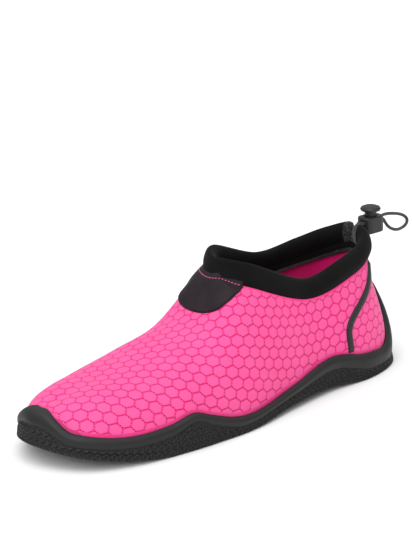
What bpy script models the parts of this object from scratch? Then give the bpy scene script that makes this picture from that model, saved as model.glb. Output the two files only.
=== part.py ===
"""Water shoe, left: a pull-on shoe of stretch fabric on a rubber cup sole, with a padded collar,
a patch over the throat, two seam tapes and an elastic cord with a spring lock at the heel.

The frame is in metres. +X points to the toe, +Y to the outer side of the foot and +Z up. The
origin lies in the flat rest under the heel. Every piece of cloth or rubber is read from one
surface, the outside of the upper: a place on it is (station, rise), where the station runs round
the foot and the rise goes from the sole up to the collar seam or the ridge of the vamp.
"""

import math

import bmesh
import bpy
import numpy as np
from mathutils import Vector

# Driving dimensions of the foot form
LAST_LENGTH = 0.246
BALL_WIDTH = 0.084
INSTEP_HEIGHT = 0.064
HEEL_HEIGHT = 0.072
TOE_SPRING = 0.012
ARCH_LIFT = 0.005

# Walls and plates
UPPER_WALL = 0.0022
SOLE_PLATE = 0.0045
RUBBER_WALL = 0.0020
SOLE_FLARE = 0.0014
BEAD_SWELL = 0.0012
BAND_HEIGHT = 0.020
INSOLE_THICKNESS = 0.0030
TREAD_GROOVE = 0.0012
TREAD_GROOVE_WIDTH = 0.0016
DRAIN_DIAMETER = 0.0036
DRAIN_CUT = 0.020
EDGE_ROUND = 0.0008
INSOLE_CLEARANCE = 0.0008
COLLAR_HEIGHT = 0.0145
COLLAR_THICKNESS = 0.0072
TAB_THICKNESS = 0.0010
TAB_WIDTH = 0.0410
TAB_REACH = 0.0155
TAPE_THICKNESS = 0.0009
TAPE_WIDTH = 0.0042
BINDING_DROP = 0.0050
BINDING_GAP = 0.0007
BINDING_THICKNESS = 0.0011
NOTCH_WIDTH = 0.0014
NOTCH_DEPTH = 0.0095
NOTCH_FOOT = 0.45

# Cord and its lock
CORD_DIAMETER = 0.0019
CORD_SPACING = 0.0025
LOCK_LENGTH = 0.0150
LOCK_WIDTH = 0.0108
LOCK_HEIGHT = 0.0098
LOCK_CORNER = 0.0040
LOCK_EDGE = 0.0008
LOCK_FLOOR = 0.0010
LOCK_ABOVE_COLLAR = 0.0010
CORD_BELOW_TOP = 0.0032
BUTTON_DIAMETER = 0.0122
BUTTON_THICKNESS = 0.0036
STEM_DIAMETER = 0.0070
PRESS_TRAVEL = 0.0022

# Clearance between pieces that meet
GAP = 0.0003

# Points closer than this are one point
WELD = 0.000001

# The heel rest lies this share of the length in front of the back of the heel
HEEL_REST = 0.13

# Mesh columns for each station, and rows behind the rubber band and above it
STEPS = 4
BAND_ROWS = 3
WALL_ROWS = 7
ROW_CROWDING = 1.4
EVENING = 8
TAPE_ROWS = 15
ROUND_SIDES = 24

# Half plan of the foot from the heel back to the toe tip. The lengths are shares of the length,
# the ball width and the lifts; lean is the wall's tilt at its top, in degrees from upright, and
# the pulls say how far the wall follows its own direction at the bottom and at the top.
OUTLINE = np.array((
    # length, outer side, inner side, toe lift, arch lift, lean, low pull, top pull
    (0.000, 0.000, 0.000, 0.00, 0.50, -4, 0.42, 0.35),
    (0.040, 0.262, 0.245, 0.00, 0.05, 6, 0.42, 0.35),
    (0.140, 0.378, 0.355, 0.00, -0.20, 14, 0.42, 0.35),
    (0.280, 0.380, 0.335, 0.00, 0.60, 24, 0.42, 0.35),
    (0.420, 0.430, 0.310, 0.00, 0.60, 42, 0.45, 0.35),
    (0.550, 0.490, 0.365, -0.02, 0.10, 90, 0.45, 0.30),
    (0.660, 0.485, 0.435, -0.10, -0.20, 90, 0.45, 0.36),
    (0.750, 0.460, 0.480, -0.05, -0.10, 90, 0.45, 0.46),
    (0.860, 0.400, 0.450, 0.22, 0.00, 90, 0.45, 0.50),
    (0.955, 0.245, 0.330, 0.60, 0.00, 90, 0.45, 0.50),
    (1.000, -0.070, 0.070, 0.90, 0.00, 90, 0.45, 0.50),
))

# Collar seam from the heel to the throat. Height is a share of the heel height, and inner lift
# is what the inner side has more. Roll and thick are shares of the collar's own height and
# thickness, tip leans the roll inward, in degrees, and binding is a share of how far the bound
# edge hangs inside.
COLLAR = np.array((
    # length, outer side, inner side, height, inner lift, roll, thick, tip, binding
    (0.048, 0.000, 0.000, 0.960, 0.000, 0.84, 1.05, 2, 1.0),
    (0.078, 0.190, 0.190, 0.900, 0.005, 0.84, 1.05, 8, 1.0),
    (0.160, 0.275, 0.270, 0.825, 0.030, 0.84, 1.00, 18, 1.0),
    (0.310, 0.290, 0.280, 0.755, 0.075, 0.80, 1.00, 24, 1.0),
    (0.466, 0.215, 0.200, 0.955, 0.050, 0.86, 1.00, 20, 0.3),
    (0.512, 0.000, 0.000, 1.060, 0.000, 0.74, 1.00, 14, 0.0),
))

# Ridge of the vamp from the throat to above the toes
RIDGE = np.array((
    # length, side, height
    (0.512, 0.00, 1.193),
    (0.590, -0.01, 0.84),
    (0.690, -0.02, 0.69),
    (0.790, -0.04, 0.58),
    (0.880, -0.06, 0.51),
    (0.935, -0.07, 0.46),
))

# Smooth rubber band round the wall: its top and the lower edge of its bead above the floor
# line, as shares of the band height. Station counts the rows of the outline, heel to toe.
BAND = np.array((
    # station, top, low
    (0.00, 2.35, 0.30),
    (0.60, 2.15, 0.28),
    (1.00, 1.10, 0.26),
    (1.35, 0.75, 0.24),
    (2.00, 0.73, 0.26),
    (2.75, 0.86, 0.47),
    (3.90, 0.51, 0.28),
    (4.70, 0.42, 0.22),
    (5.50, 0.52, 0.24),
    (6.10, 0.76, 0.50),
    (6.65, 0.95, 0.72),
    (7.20, 0.82, 0.54),
    (8.20, 0.61, 0.32),
    (9.20, 0.65, 0.30),
    (9.60, 0.83, 0.50),
    (10.0, 0.68, 0.42),
))

# Middle line of a seam tape: station, and share of the wall between band top and collar seam
TAPE = np.array((
    # station, share
    (1.05, 0.955),
    (1.30, 0.830),
    (1.75, 0.700),
    (2.20, 0.550),
    (2.43, 0.350),
    (2.46, 0.020),
))

# Half plan of the throat patch: ahead of the throat as a share of its reach, and to the side
# as a share of its width
TAB = (
    # reach, side
    (-0.85, 0.40),
    (-0.40, 0.465),
    (0.24, 0.49),
    (0.70, 0.42),
    (0.94, 0.24),
    (1.00, 0.00),
)

# Corners of the five raised tread panels, as shares of the length from the heel and of the
# ball width, outer side first
PANELS = {
    "forefoot_outer": (
        (0.97, 0.01), (0.94, 0.15), (0.86, 0.34), (0.76, 0.42), (0.65, 0.44),
        (0.58, 0.41), (0.57, 0.36), (0.66, 0.21), (0.87, -0.14), (0.94, -0.23), (0.97, -0.19),
    ),
    "forefoot_inner": (
        (0.93, -0.29), (0.92, -0.38), (0.85, -0.42), (0.78, -0.43), (0.70, -0.39),
        (0.65, -0.29), (0.62, -0.12), (0.64, -0.04), (0.77, -0.12), (0.84, -0.18),
    ),
    "waist": (
        (0.66, 0.11), (0.65, 0.03), (0.46, 0.03), (0.39, 0.30), (0.48, 0.35), (0.56, 0.30),
    ),
    "heel_front": (
        (0.41, 0.02), (0.33, 0.05), (0.24, 0.28), (0.33, 0.31),
    ),
    "heel": (
        (0.34, -0.10), (0.22, 0.24), (0.17, 0.31), (0.11, 0.29), (0.045, 0.16),
        (0.03, -0.06), (0.07, -0.25), (0.16, -0.31), (0.28, -0.27),
    ),
}

# Drain holes through the sole, as shares of the length and of the ball width
DRAINS = (
    (0.79, 0.15), (0.745, 0.0), (0.70, 0.06), (0.74, 0.21), (0.49, -0.10), (0.425, -0.10), (0.24, 0.01),
)

# Section of the collar above its seat: height as a share of the roll, and side as a share of
# half its thickness, from the outer seat over the top to the inner side
COLLAR_SECTION = (
    # along, side
    (0.10, 0.62),
    (0.34, 1.00),
    (0.64, 0.98),
    (0.88, 0.62),
    (1.00, 0.00),
    (0.90, -0.62),
    (0.64, -1.00),
    (0.32, -1.00),
    (0.04, -0.80),
)

# Section of a seam tape: across as a share of half its width, and lift as a share of its
# thickness, along its underside and back over its top
TAPE_SECTION = (
    # across, lift
    (-1.0, 0.0),
    (0.0, 0.0),
    (1.0, 0.0),
    (0.8, 1.0),
    (0.0, 1.15),
    (-0.8, 1.0),
)

# Route of the free cord loop, from the lock's upper hole out and back to the lower one, in
# metres behind the lock, to the side and above the hole
CORD_ROUTE = (
    (0.0000, -0.00125, 0.0000), (0.0025, -0.00135, 0.0005), (0.0055, -0.0015, 0.0009),
    (0.0095, -0.0016, 0.0006), (0.0137, -0.0015, -0.0002), (0.0175, -0.0012, -0.0011),
    (0.0208, -0.0007, -0.0024), (0.0232, -0.0002, -0.0042), (0.0239, 0.0002, -0.0061),
    (0.0228, 0.0005, -0.0079), (0.0200, 0.0009, -0.0091), (0.0165, 0.0012, -0.0096),
    (0.0130, 0.0014, -0.0094), (0.0090, 0.0015, -0.0080), (0.0056, 0.0015, -0.0057),
    (0.0034, 0.0014, -0.0030), (0.0018, 0.0013, -0.0008), (0.0000, 0.00125, 0.0000),
)
CORD_POINTS = 44

TOE = len(OUTLINE) - 1
THROAT = len(COLLAR) - 1
HEEL_X = -HEEL_REST * LAST_LENGTH
STATIONS = np.arange(2 * TOE * STEPS) / STEPS
SEAM_STATIONS = np.arange(-THROAT * STEPS, THROAT * STEPS) / STEPS
TAB_STATIONS = np.arange(3.25, 6.76, 1 / STEPS)
TAB_ROWS = 5


def spline(rows, at, closed=False):
    """Reads a smooth curve through a table's rows, at places counted in rows."""
    at = np.asarray(at, float)
    count = len(rows)
    if not closed:
        before = 2 * rows[0] - rows[1]
        after = 2 * rows[-1] - rows[-2]
        rows = np.vstack((before, rows, after))
        at = at + 1
    first = np.floor(at).astype(int)
    if not closed:
        first = np.clip(first, 1, count - 1)
    share = (at - first)[..., None]
    a, b, c, d = (rows[(first + k) % len(rows)] for k in (-1, 0, 1, 2))
    bend = 2 * a - 5 * b + 4 * c - d
    twist = 3 * (b - c) + d - a
    return b + 0.5 * share * (c - a + share * (bend + share * twist))


def whole(half):
    """A half table as a closed ring of rows, the outer side and then the inner one."""
    outer = np.column_stack((half[:, 0], half[:, 1], half[:, 3:]))
    inner = np.column_stack((half[:, 0], -half[:, 2], half[:, 3:]))
    return np.vstack((outer, inner[-2:0:-1]))


def fold(station, rows=TOE):
    """A station round the foot as a row of a half table, and 1 or -1 for its side."""
    turn = np.mod(station, 2 * rows)
    return np.where(turn <= rows, turn, 2 * rows - turn), np.where(turn <= rows, 1.0, -1.0)


def unit(vectors):
    return vectors / np.maximum(np.linalg.norm(vectors, axis=-1, keepdims=True), 1e-9)


def placed(plan, height):
    """Shares of length and width as metres."""
    x = HEEL_X + plan[..., 0] * LAST_LENGTH
    return np.stack((x, plan[..., 1] * BALL_WIDTH, height + 0 * x), -1)


def outline_at(station):
    return spline(whole(OUTLINE), np.mod(station, 2 * TOE), closed=True)


def floor_at(station):
    """Height of the sole's underside above the floor."""
    row = outline_at(station)
    return np.maximum(row[..., 2], 0) * TOE_SPRING + np.maximum(row[..., 3], 0) * ARCH_LIFT


def collar_row(station):
    row, side = fold(station)
    row = np.minimum(row, THROAT)
    seam = spline(whole(COLLAR), np.where(side > 0, row, 2 * THROAT - row), closed=True)
    seam[..., 2] += np.where(side > 0, 0, seam[..., 3])
    return seam


def top_at(station):
    """Top of the wall: the collar seam behind the throat, the ridge before it."""
    row, side = fold(station)
    seam = collar_row(station)
    seam = placed(seam, seam[..., 2] * HEEL_HEIGHT)
    ridge = spline(RIDGE, np.clip(row - THROAT, 0, TOE - THROAT))
    ridge = placed(ridge, ridge[..., 2] * INSTEP_HEIGHT)
    return np.where((row <= THROAT)[..., None], seam, ridge)


def feather_at(station):
    return placed(outline_at(station), floor_at(station) + SOLE_PLATE + GAP)


def surface(station, rise):
    """A point of the upper's outside: each wall is one curve from the feather line to its top."""
    station, rise = np.broadcast_arrays(np.asarray(station, float), np.asarray(rise, float))
    foot, top, shape = feather_at(station), top_at(station), outline_at(station)
    row, side = fold(station)
    inward = unit((top - foot) * (1, 1, 0))
    square = np.stack((0 * side, -side, 0 * side), -1)
    straight = np.clip((row - THROAT + 1) * (TOE - 1.5 - row), 0, 1)[..., None]
    inward = unit(inward * (1 - straight) + square * straight)
    lean = np.radians(shape[..., 4:5])
    climb = inward * np.sin(lean) + (0, 0, 1) * np.cos(lean)
    height = np.linalg.norm(top - foot, axis=-1, keepdims=True)
    low = foot + (0, 0, 1) * height * shape[..., 5:6]
    high = top - climb * height * shape[..., 6:7]
    v = rise[..., None]
    w = 1 - v
    return w ** 3 * foot + 3 * w * w * v * low + 3 * w * v * v * high + v ** 3 * top


def outward(station, rise):
    """The surface's normal. On the ridge it is the mean of both sides."""
    station, rise = np.broadcast_arrays(np.asarray(station, float), np.asarray(rise, float))
    row = fold(station)[0]

    def normal(place):
        near = np.minimum(rise, 0.96)
        along = surface(place + 0.05, near) - surface(place - 0.05, near)
        up = surface(place, near + 0.03) - surface(place, near - 0.03)
        return unit(np.cross(up, along))

    both = unit(normal(station) + normal(-station))
    ridge = ((row >= THROAT) & (rise > 0.999))[..., None]
    return np.where(ridge, both, normal(station))


def skin(station, rise, out):
    """A point at a distance out from the upper's outside."""
    return surface(station, rise) + outward(station, rise) * np.asarray(out, float)[..., None]


def rise_at_height(station, height):
    """The rise at which a wall reaches a height above the floor."""
    steps = np.linspace(0, 1, 61)
    return np.array([np.interp(h, surface(s, steps)[:, 2], steps) for s, h in zip(station, height)])


def eased(table, column, at):
    """A column of a table read at any station, with smooth slopes through its rows."""
    places, values = table[:, 0], table[:, column]
    slopes = np.gradient(values, places)
    first = np.clip(np.searchsorted(places, at, side="right") - 1, 0, len(places) - 2)
    span = places[first + 1] - places[first]
    s = (at - places[first]) / span
    rise = values[first + 1] - values[first]
    start, end = slopes[first] * span, slopes[first + 1] * span
    return values[first] + s * (start + s * (3 * rise - 2 * start - end + s * (start + end - 2 * rise)))


def band_height(station, column):
    """Height above the floor of the rubber band's top (1) or of its bead's lower edge (2)."""
    return floor_at(station) + eased(BAND, column, fold(station)[0]) * BAND_HEIGHT


def wall(station, height, out):
    """A point of the rubber wall at a height above the floor and a distance out from the upper."""
    point = skin(station, rise_at_height(station, height), np.full(len(station), out))
    low = height < feather_at(station)[:, 2]
    point[low, 2] = height[low]
    return point


def new_material(name, colour, roughness):
    material = bpy.data.materials.new(name)
    material.use_nodes = True
    shader = material.node_tree.nodes["Principled BSDF"]
    shader.inputs["Base Color"].default_value = (*colour, 1)
    shader.inputs["Roughness"].default_value = roughness
    shader.inputs["Metallic"].default_value = 0
    return material


def add_object(name, mesh, material, collection):
    piece = bpy.data.objects.new(name, mesh)
    if material:
        mesh.materials.append(material)
        mesh.shade_smooth()
        mesh.set_sharp_from_angle(angle=math.radians(40))
    collection.objects.link(piece)
    return piece


def mesh_from(name, sheets):
    """A closed mesh from sheets of points, each a grid, welded where their edges meet. Every
    grid face is split along the same diagonal, so that pieces with a gap between them stay even."""
    shape = bmesh.new()
    for sheet in sheets:
        grid = [[shape.verts.new(point) for point in row] for row in sheet]
        for row, after in zip(grid, grid[1:]):
            for a, b, c, d in zip(row, row[1:], after[1:], after):
                shape.faces.new((a, b, c))
                shape.faces.new((a, c, d))
    bmesh.ops.remove_doubles(shape, verts=shape.verts, dist=WELD)
    bmesh.ops.dissolve_degenerate(shape, edges=shape.edges, dist=WELD)
    bmesh.ops.recalc_face_normals(shape, faces=shape.faces)
    mesh = bpy.data.meshes.new(name)
    shape.to_mesh(mesh)
    shape.free()
    return mesh


def closed_row(row):
    return np.concatenate((row, row[:1]))


def ring_sheet(rings):
    """Rings of points as one sheet that closes on itself round the foot."""
    return np.array([closed_row(ring) for ring in rings])


def across(ring):
    """A plate's face: a ring of stations bridged from the outer side to the inner one."""
    half = len(ring) // 2
    outer = ring[:half + 1]
    inner = np.concatenate((ring[:1], ring[:half - 1:-1]))
    return np.array((outer, inner))


def evened(normals):
    """Normals round a closed ring, evened out along it."""
    for _ in range(EVENING):
        normals = unit(2 * normals + np.roll(normals, 1, 0) + np.roll(normals, -1, 0))
    return normals


def upper_rises(station):
    """Rises of the upper's rows at each station; the first rows end at the rubber band's top,
    and the others stand closer together near the seam and the ridge."""
    band = rise_at_height(station, band_height(station, 1))
    low = [band * k / BAND_ROWS for k in range(BAND_ROWS)]
    shares = 1 - (1 - np.arange(WALL_ROWS + 1) / WALL_ROWS) ** ROW_CROWDING
    high = [band + (1 - band) * share for share in shares]
    return low, high


def upper_mesh():
    """The shell: outside, inside, the rim round the collar and the open edge underneath."""
    low, high = upper_rises(STATIONS)
    outside = [skin(STATIONS, rise, 0 * STATIONS) for rise in low + high]
    inside = [surface(STATIONS, rise) - evened(outward(STATIONS, rise)) * UPPER_WALL for rise in low + high[:-1]]
    inside.append(skin(STATIONS, high[-1], 0 * STATIONS - UPPER_WALL))
    for ring in inside:
        ring[:, 2] = np.maximum(ring[:, 2], outside[0][:, 2])
    inside[0][:, 2] = outside[0][:, 2]
    edge_points, tangent, out, climb = collar_frame()
    place = (SEAM_STATIONS * STEPS).astype(int)
    inside[-1][place] = edge_points - out * UPPER_WALL
    inside[-1][THROAT * STEPS] = inside[-1][-THROAT * STEPS]
    seam = np.concatenate((place, [THROAT * STEPS]))
    rim = np.array((inside[-1][seam], outside[-1][seam]))
    edge = ring_sheet((outside[0], inside[0]))
    return mesh_from("upper", (ring_sheet(outside), ring_sheet(inside), rim, edge))


def sole_rings():
    """Rings of the cup sole, from its bottom edge up the outside and down the inside."""
    floor = floor_at(STATIONS)
    top, low = band_height(STATIONS, 1), band_height(STATIONS, 2)
    face = GAP + RUBBER_WALL
    bead = face + BEAD_SWELL

    def bead_ring(share, out):
        return wall(STATIONS, low + (top - low) * share, out)

    outside = [
        wall(STATIONS, floor, face + SOLE_FLARE - EDGE_ROUND),
        wall(STATIONS, floor + EDGE_ROUND, face + SOLE_FLARE),
        wall(STATIONS, low - EDGE_ROUND, face + SOLE_FLARE / 2),
        bead_ring(0.06, bead - EDGE_ROUND / 2),
        bead_ring(0.30, bead),
        bead_ring(0.62, bead),
        bead_ring(0.88, face),
        bead_ring(1.00, GAP + EDGE_ROUND),
    ]
    rises = upper_rises(STATIONS)
    inside = [skin(STATIONS, rise, 0 * STATIONS + GAP) for rise in (rises[1][0], *rises[0][::-1])]
    inside[0] = inside[0] + (outside[-1] - inside[0]) * 0.02
    inside[-1][:, 2] = floor + SOLE_PLATE
    return outside, inside


def outline_ring(name):
    """A tread panel's corners, rounded once, in metres."""
    plan = np.array(PANELS[name])
    after = np.roll(plan, -1, 0)
    rounded = np.stack((plan * 0.75 + after * 0.25, plan * 0.25 + after * 0.75), 1).reshape(-1, 2)
    return placed(rounded, 0.0)[:, :2]


def groove_mesh(name, edge, underside):
    """A closed band that cuts a groove under the sole along a panel's outline."""
    ring = outline_ring(name)
    tangent = unit(np.roll(ring, -1, 0) - np.roll(ring, 1, 0))
    aside = np.stack((tangent[:, 1], -tangent[:, 0]), 1) * TREAD_GROOVE_WIDTH / 2
    depth = underside(ring[:, 0]) + TREAD_GROOVE
    below = 0 * depth - SOLE_PLATE
    rows = [np.column_stack((ring + aside, below)), np.column_stack((ring - aside, below)),
            np.column_stack((ring - aside, depth)), np.column_stack((ring + aside, depth))]
    return mesh_from("groove_" + name, (ring_sheet([*rows, rows[0]]),))


def cut(target, cutter, operation="DIFFERENCE"):
    """Applies a Boolean to a piece and keeps the cutter as a hidden guide."""
    boolean = target.modifiers.new("cut", "BOOLEAN")
    boolean.operation = operation
    boolean.object = cutter
    bpy.context.view_layer.update()
    evaluated = target.evaluated_get(bpy.context.evaluated_depsgraph_get())
    mesh = bpy.data.meshes.new_from_object(evaluated)
    target.modifiers.clear()
    old, target.data = target.data, mesh
    mesh.name = target.name
    bpy.data.meshes.remove(old)
    cutter.hide_render = True
    cutter.display_type = "WIRE"


def tube_cutter(name, radius, centre, length, cutters, sides=12, axis=(0, 0, 1)):
    shape = bmesh.new()
    bmesh.ops.create_cone(shape, cap_ends=True, segments=sides, radius1=radius, radius2=radius, depth=length)
    mesh = bpy.data.meshes.new(name)
    shape.to_mesh(mesh)
    shape.free()
    piece = add_object(name, mesh, None, cutters)
    piece.location = centre
    piece.rotation_mode = "QUATERNION"
    piece.rotation_quaternion = Vector((0, 0, 1)).rotation_difference(Vector(axis))
    return piece


def make_outsole(parts, cutters, rubber):
    outside, inside = sole_rings()
    body = ring_sheet([*inside[::-1], *outside[::-1]])
    sheets = (body, across(inside[-1]), across(outside[0]))
    sole = add_object("outsole", mesh_from("outsole", sheets), rubber, parts)
    half = outside[0][:TOE * STEPS + 1]

    def underside(x):
        return np.interp(x, half[:, 0], half[:, 2])

    for name in PANELS:
        groove = groove_mesh(name, outside[0], underside)
        cut(sole, add_object("cut_groove_" + name, groove, None, cutters))
    for number, (length, side) in enumerate(DRAINS, 1):
        x, y, z = placed(np.array((length, side)), 0.0)
        hole = tube_cutter(f"cut_drain_{number}", DRAIN_DIAMETER / 2, (x, y, z), DRAIN_CUT, cutters, 10)
        cut(sole, hole)
    return sole


def make_insole(parts, foam):
    """A flat footbed inside the upper, its edge following the upper's inside."""
    seat = UPPER_WALL + INSOLE_CLEARANCE
    low = skin(STATIONS, 0 * STATIONS, 0 * STATIONS - seat)
    low[:, 2] = feather_at(STATIONS)[:, 2]
    high = low + (0, 0, INSOLE_THICKNESS)
    sheets = (ring_sheet((low, high)), across(low), across(high))
    return add_object("insole", mesh_from("insole", sheets), foam, parts)


def collar_frame():
    """Seam points of the collar with their tangent, outward normal and way up the surface. The
    normals are evened out along the seam, so that the padded roll turns smoothly at the throat."""
    station = SEAM_STATIONS
    seam = top_at(station)
    tangent = unit(np.roll(seam, -1, 0) - np.roll(seam, 1, 0))
    out = evened(outward(station, 1.0))
    out = unit(out - tangent * (out * tangent).sum(1, keepdims=True))
    climb = unit(np.cross(tangent, out))
    return seam, tangent, out, climb


def collar_rings():
    """Rings of the collar: its seat on the upper's rim, the padded roll and the bound edge
    inside the shoe, which hangs below the seam against the lining."""
    seam, tangent, out, climb = collar_frame()
    row = collar_row(SEAM_STATIONS)
    inward = unit((np.array((seam[:, 0].mean(), 0, 0)) - seam) * (1, 1, 0))
    tip = np.radians(row[:, 6:7])
    rise = inward * np.sin(tip) + (0, 0, 1) * np.cos(tip)
    height = row[:, 4:5] * COLLAR_HEIGHT
    half = row[:, 5:6] * COLLAR_THICKNESS / 2
    seat = seam + climb * GAP
    rings = [seat]
    for along, side in COLLAR_SECTION:
        way = unit(climb * (1 - along) + rise * along)
        face = unit(np.cross(way, tangent))
        rings.append(seat + way * height * along + face * (side * half - UPPER_WALL / 2))
    wall_height = np.linalg.norm(seam - feather_at(SEAM_STATIONS), axis=1)
    low = 1 - BINDING_DROP * np.maximum(row[:, 7], 0) / wall_height
    edge = surface(SEAM_STATIONS, low)
    lining = UPPER_WALL + BINDING_GAP
    rings.append(edge - out * (lining + BINDING_THICKNESS))
    rings.append(edge - out * lining)
    rings.append(seat - out * lining)
    rings.append(seat - out * UPPER_WALL)
    return rings


def collar_top():
    """Top of the collar at the back of the heel."""
    seam = top_at(np.zeros(1))[0]
    return seam + (0, 0, COLLAR[0, 5] * COLLAR_HEIGHT)


def make_collar(parts, cutters, foam):
    rings = collar_rings()
    collar = add_object("collar", mesh_from("collar", (ring_sheet([*rings, rings[0]]),)), foam, parts)
    top = collar_top()
    back = 3 * (CORD_SPACING + CORD_DIAMETER)
    shape = bmesh.new()
    bmesh.ops.create_cube(shape, size=1)
    for corner in shape.verts:
        width = NOTCH_WIDTH if corner.co.x > 0 else back
        width *= 1 if corner.co.z > 0 else NOTCH_FOOT
        corner.co.x *= 2 * COLLAR_THICKNESS
        corner.co.y *= width
        corner.co.z *= 2 * NOTCH_DEPTH
    mesh = bpy.data.meshes.new("cut_notch")
    shape.to_mesh(mesh)
    shape.free()
    notch = add_object("cut_notch", mesh, None, cutters)
    notch.location = top
    cut(collar, notch)
    return collar


def make_tab(parts, cutters, patch):
    """The throat patch: two offset forms of the upper, kept inside an upright outline."""
    sides = []
    for turn in (TAB_STATIONS, 2 * TOE - TAB_STATIONS[::-1]):
        rises = upper_rises(turn)[1][-TAB_ROWS:]
        near = np.array([skin(turn, rise, 0 * turn + GAP) for rise in rises])
        far = np.array([skin(turn, rise, 0 * turn + GAP + TAB_THICKNESS) for rise in rises])
        behind = fold(turn)[0] <= THROAT
        sides += [near, far, np.array((near[0], far[0])), np.array((near[:, 0], far[:, 0])),
                  np.array((near[:, -1], far[:, -1])), np.array((near[-1][behind], far[-1][behind]))]
    form = add_object("vamp_tab", mesh_from("vamp_tab", sides), patch, parts)
    throat = top_at(np.array((float(THROAT),)))[0]
    half = [(throat[0] + a * TAB_REACH, b * TAB_WIDTH) for a, b in TAB]
    curve = spline(np.array(half), np.arange(0, len(half) - 0.99, 0.5))
    ring = np.vstack((curve, curve[-2::-1] * (1, -1)))
    low = np.column_stack((ring, 0 * ring[:, 0] + SOLE_PLATE))
    high = low + (0, 0, 2 * INSTEP_HEIGHT)
    shape = bmesh.new()
    bottom = [shape.verts.new(p) for p in low]
    shape.faces.new(bottom)
    grown = bmesh.ops.extrude_face_region(shape, geom=shape.faces[:])
    lifted = [v for v in grown["geom"] if isinstance(v, bmesh.types.BMVert)]
    bmesh.ops.translate(shape, verts=lifted, vec=(0, 0, high[0, 2] - low[0, 2]))
    bmesh.ops.recalc_face_normals(shape, faces=shape.faces)
    mesh = bpy.data.meshes.new("cut_tab")
    shape.to_mesh(mesh)
    shape.free()
    cut(form, add_object("cut_tab", mesh, None, cutters), "INTERSECT")
    return form


def make_tape(name, side, parts, patch):
    """A narrow tape over a rear quarter seam, from under the collar down to the rubber band."""
    path = spline(TAPE, np.linspace(0, len(TAPE) - 1, TAPE_ROWS))
    station = path[:, 0] if side > 0 else 2 * TOE - path[:, 0]
    band = rise_at_height(station, band_height(station, 1))
    rise = band + (1 - band) * path[:, 1]
    centre = surface(station, rise)
    out = outward(station, rise)
    along = unit(np.gradient(centre, axis=0))
    aside = unit(np.cross(out, along)) * TAPE_WIDTH / 2
    rows = []
    for across_share, lift in TAPE_SECTION:
        rows.append(centre + aside * across_share + out * (GAP + lift * TAPE_THICKNESS))
    body = np.array([*rows, rows[0]])
    under, over = np.array(rows[:3]), np.array(rows[:2:-1])
    ends = [np.array((under[:, k], over[:, k])) for k in (0, -1)]
    return add_object(name, mesh_from(name, (body, *ends)), patch, parts)


def lock_place():
    """The lock's upright axis behind the collar, and the heights of its underside and cord."""
    top = collar_top()
    reach = COLLAR[0, 6] * COLLAR_THICKNESS / 2 + 2 * GAP
    x = top[0] - reach - LOCK_LENGTH / 2
    z = top[2] + LOCK_ABOVE_COLLAR - LOCK_HEIGHT
    return Vector((x, 0, z)), z + LOCK_HEIGHT - CORD_BELOW_TOP


def box_cutter(name, size, centre, cutters):
    shape = bmesh.new()
    bmesh.ops.create_cube(shape, size=1)
    bmesh.ops.scale(shape, verts=shape.verts, vec=size)
    mesh = bpy.data.meshes.new(name)
    shape.to_mesh(mesh)
    shape.free()
    piece = add_object(name, mesh, None, cutters)
    piece.location = centre
    return piece


def make_lock_body(parts, cutters, plastic):
    """The lock's barrel: a rounded block with an upright bore and a passage for two cords."""
    place, cord_z = lock_place()
    shape = bmesh.new()
    bmesh.ops.create_cube(shape, size=1)
    bmesh.ops.scale(shape, verts=shape.verts, vec=(LOCK_LENGTH, LOCK_WIDTH, LOCK_HEIGHT))
    upright = [e for e in shape.edges if abs(e.verts[0].co.z - e.verts[1].co.z) > WELD]
    bmesh.ops.bevel(shape, geom=upright, offset=LOCK_CORNER, segments=4, profile=0.5, affect="EDGES")
    rims = [e for e in shape.edges if abs(e.calc_face_angle(0)) > math.radians(60)]
    bmesh.ops.bevel(shape, geom=rims, offset=LOCK_EDGE, segments=2, profile=0.5, affect="EDGES")
    bmesh.ops.translate(shape, verts=shape.verts, vec=place + Vector((0, 0, LOCK_HEIGHT / 2)))
    mesh = bpy.data.meshes.new("cord_lock_body")
    shape.to_mesh(mesh)
    shape.free()
    body = add_object("cord_lock_body", mesh, plastic, parts)
    bore = STEM_DIAMETER / 2 + GAP
    centre = place + Vector((0, 0, LOCK_FLOOR + LOCK_HEIGHT / 2))
    cut(body, tube_cutter("cut_bore", bore, centre, LOCK_HEIGHT, cutters, ROUND_SIDES))
    span = CORD_SPACING + CORD_DIAMETER + 2 * GAP
    tall = CORD_DIAMETER + 2 * GAP
    passage = (2 * LOCK_LENGTH, span, tall)
    cut(body, box_cutter("cut_passage", passage, (place.x, 0, cord_z), cutters))
    return body


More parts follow.
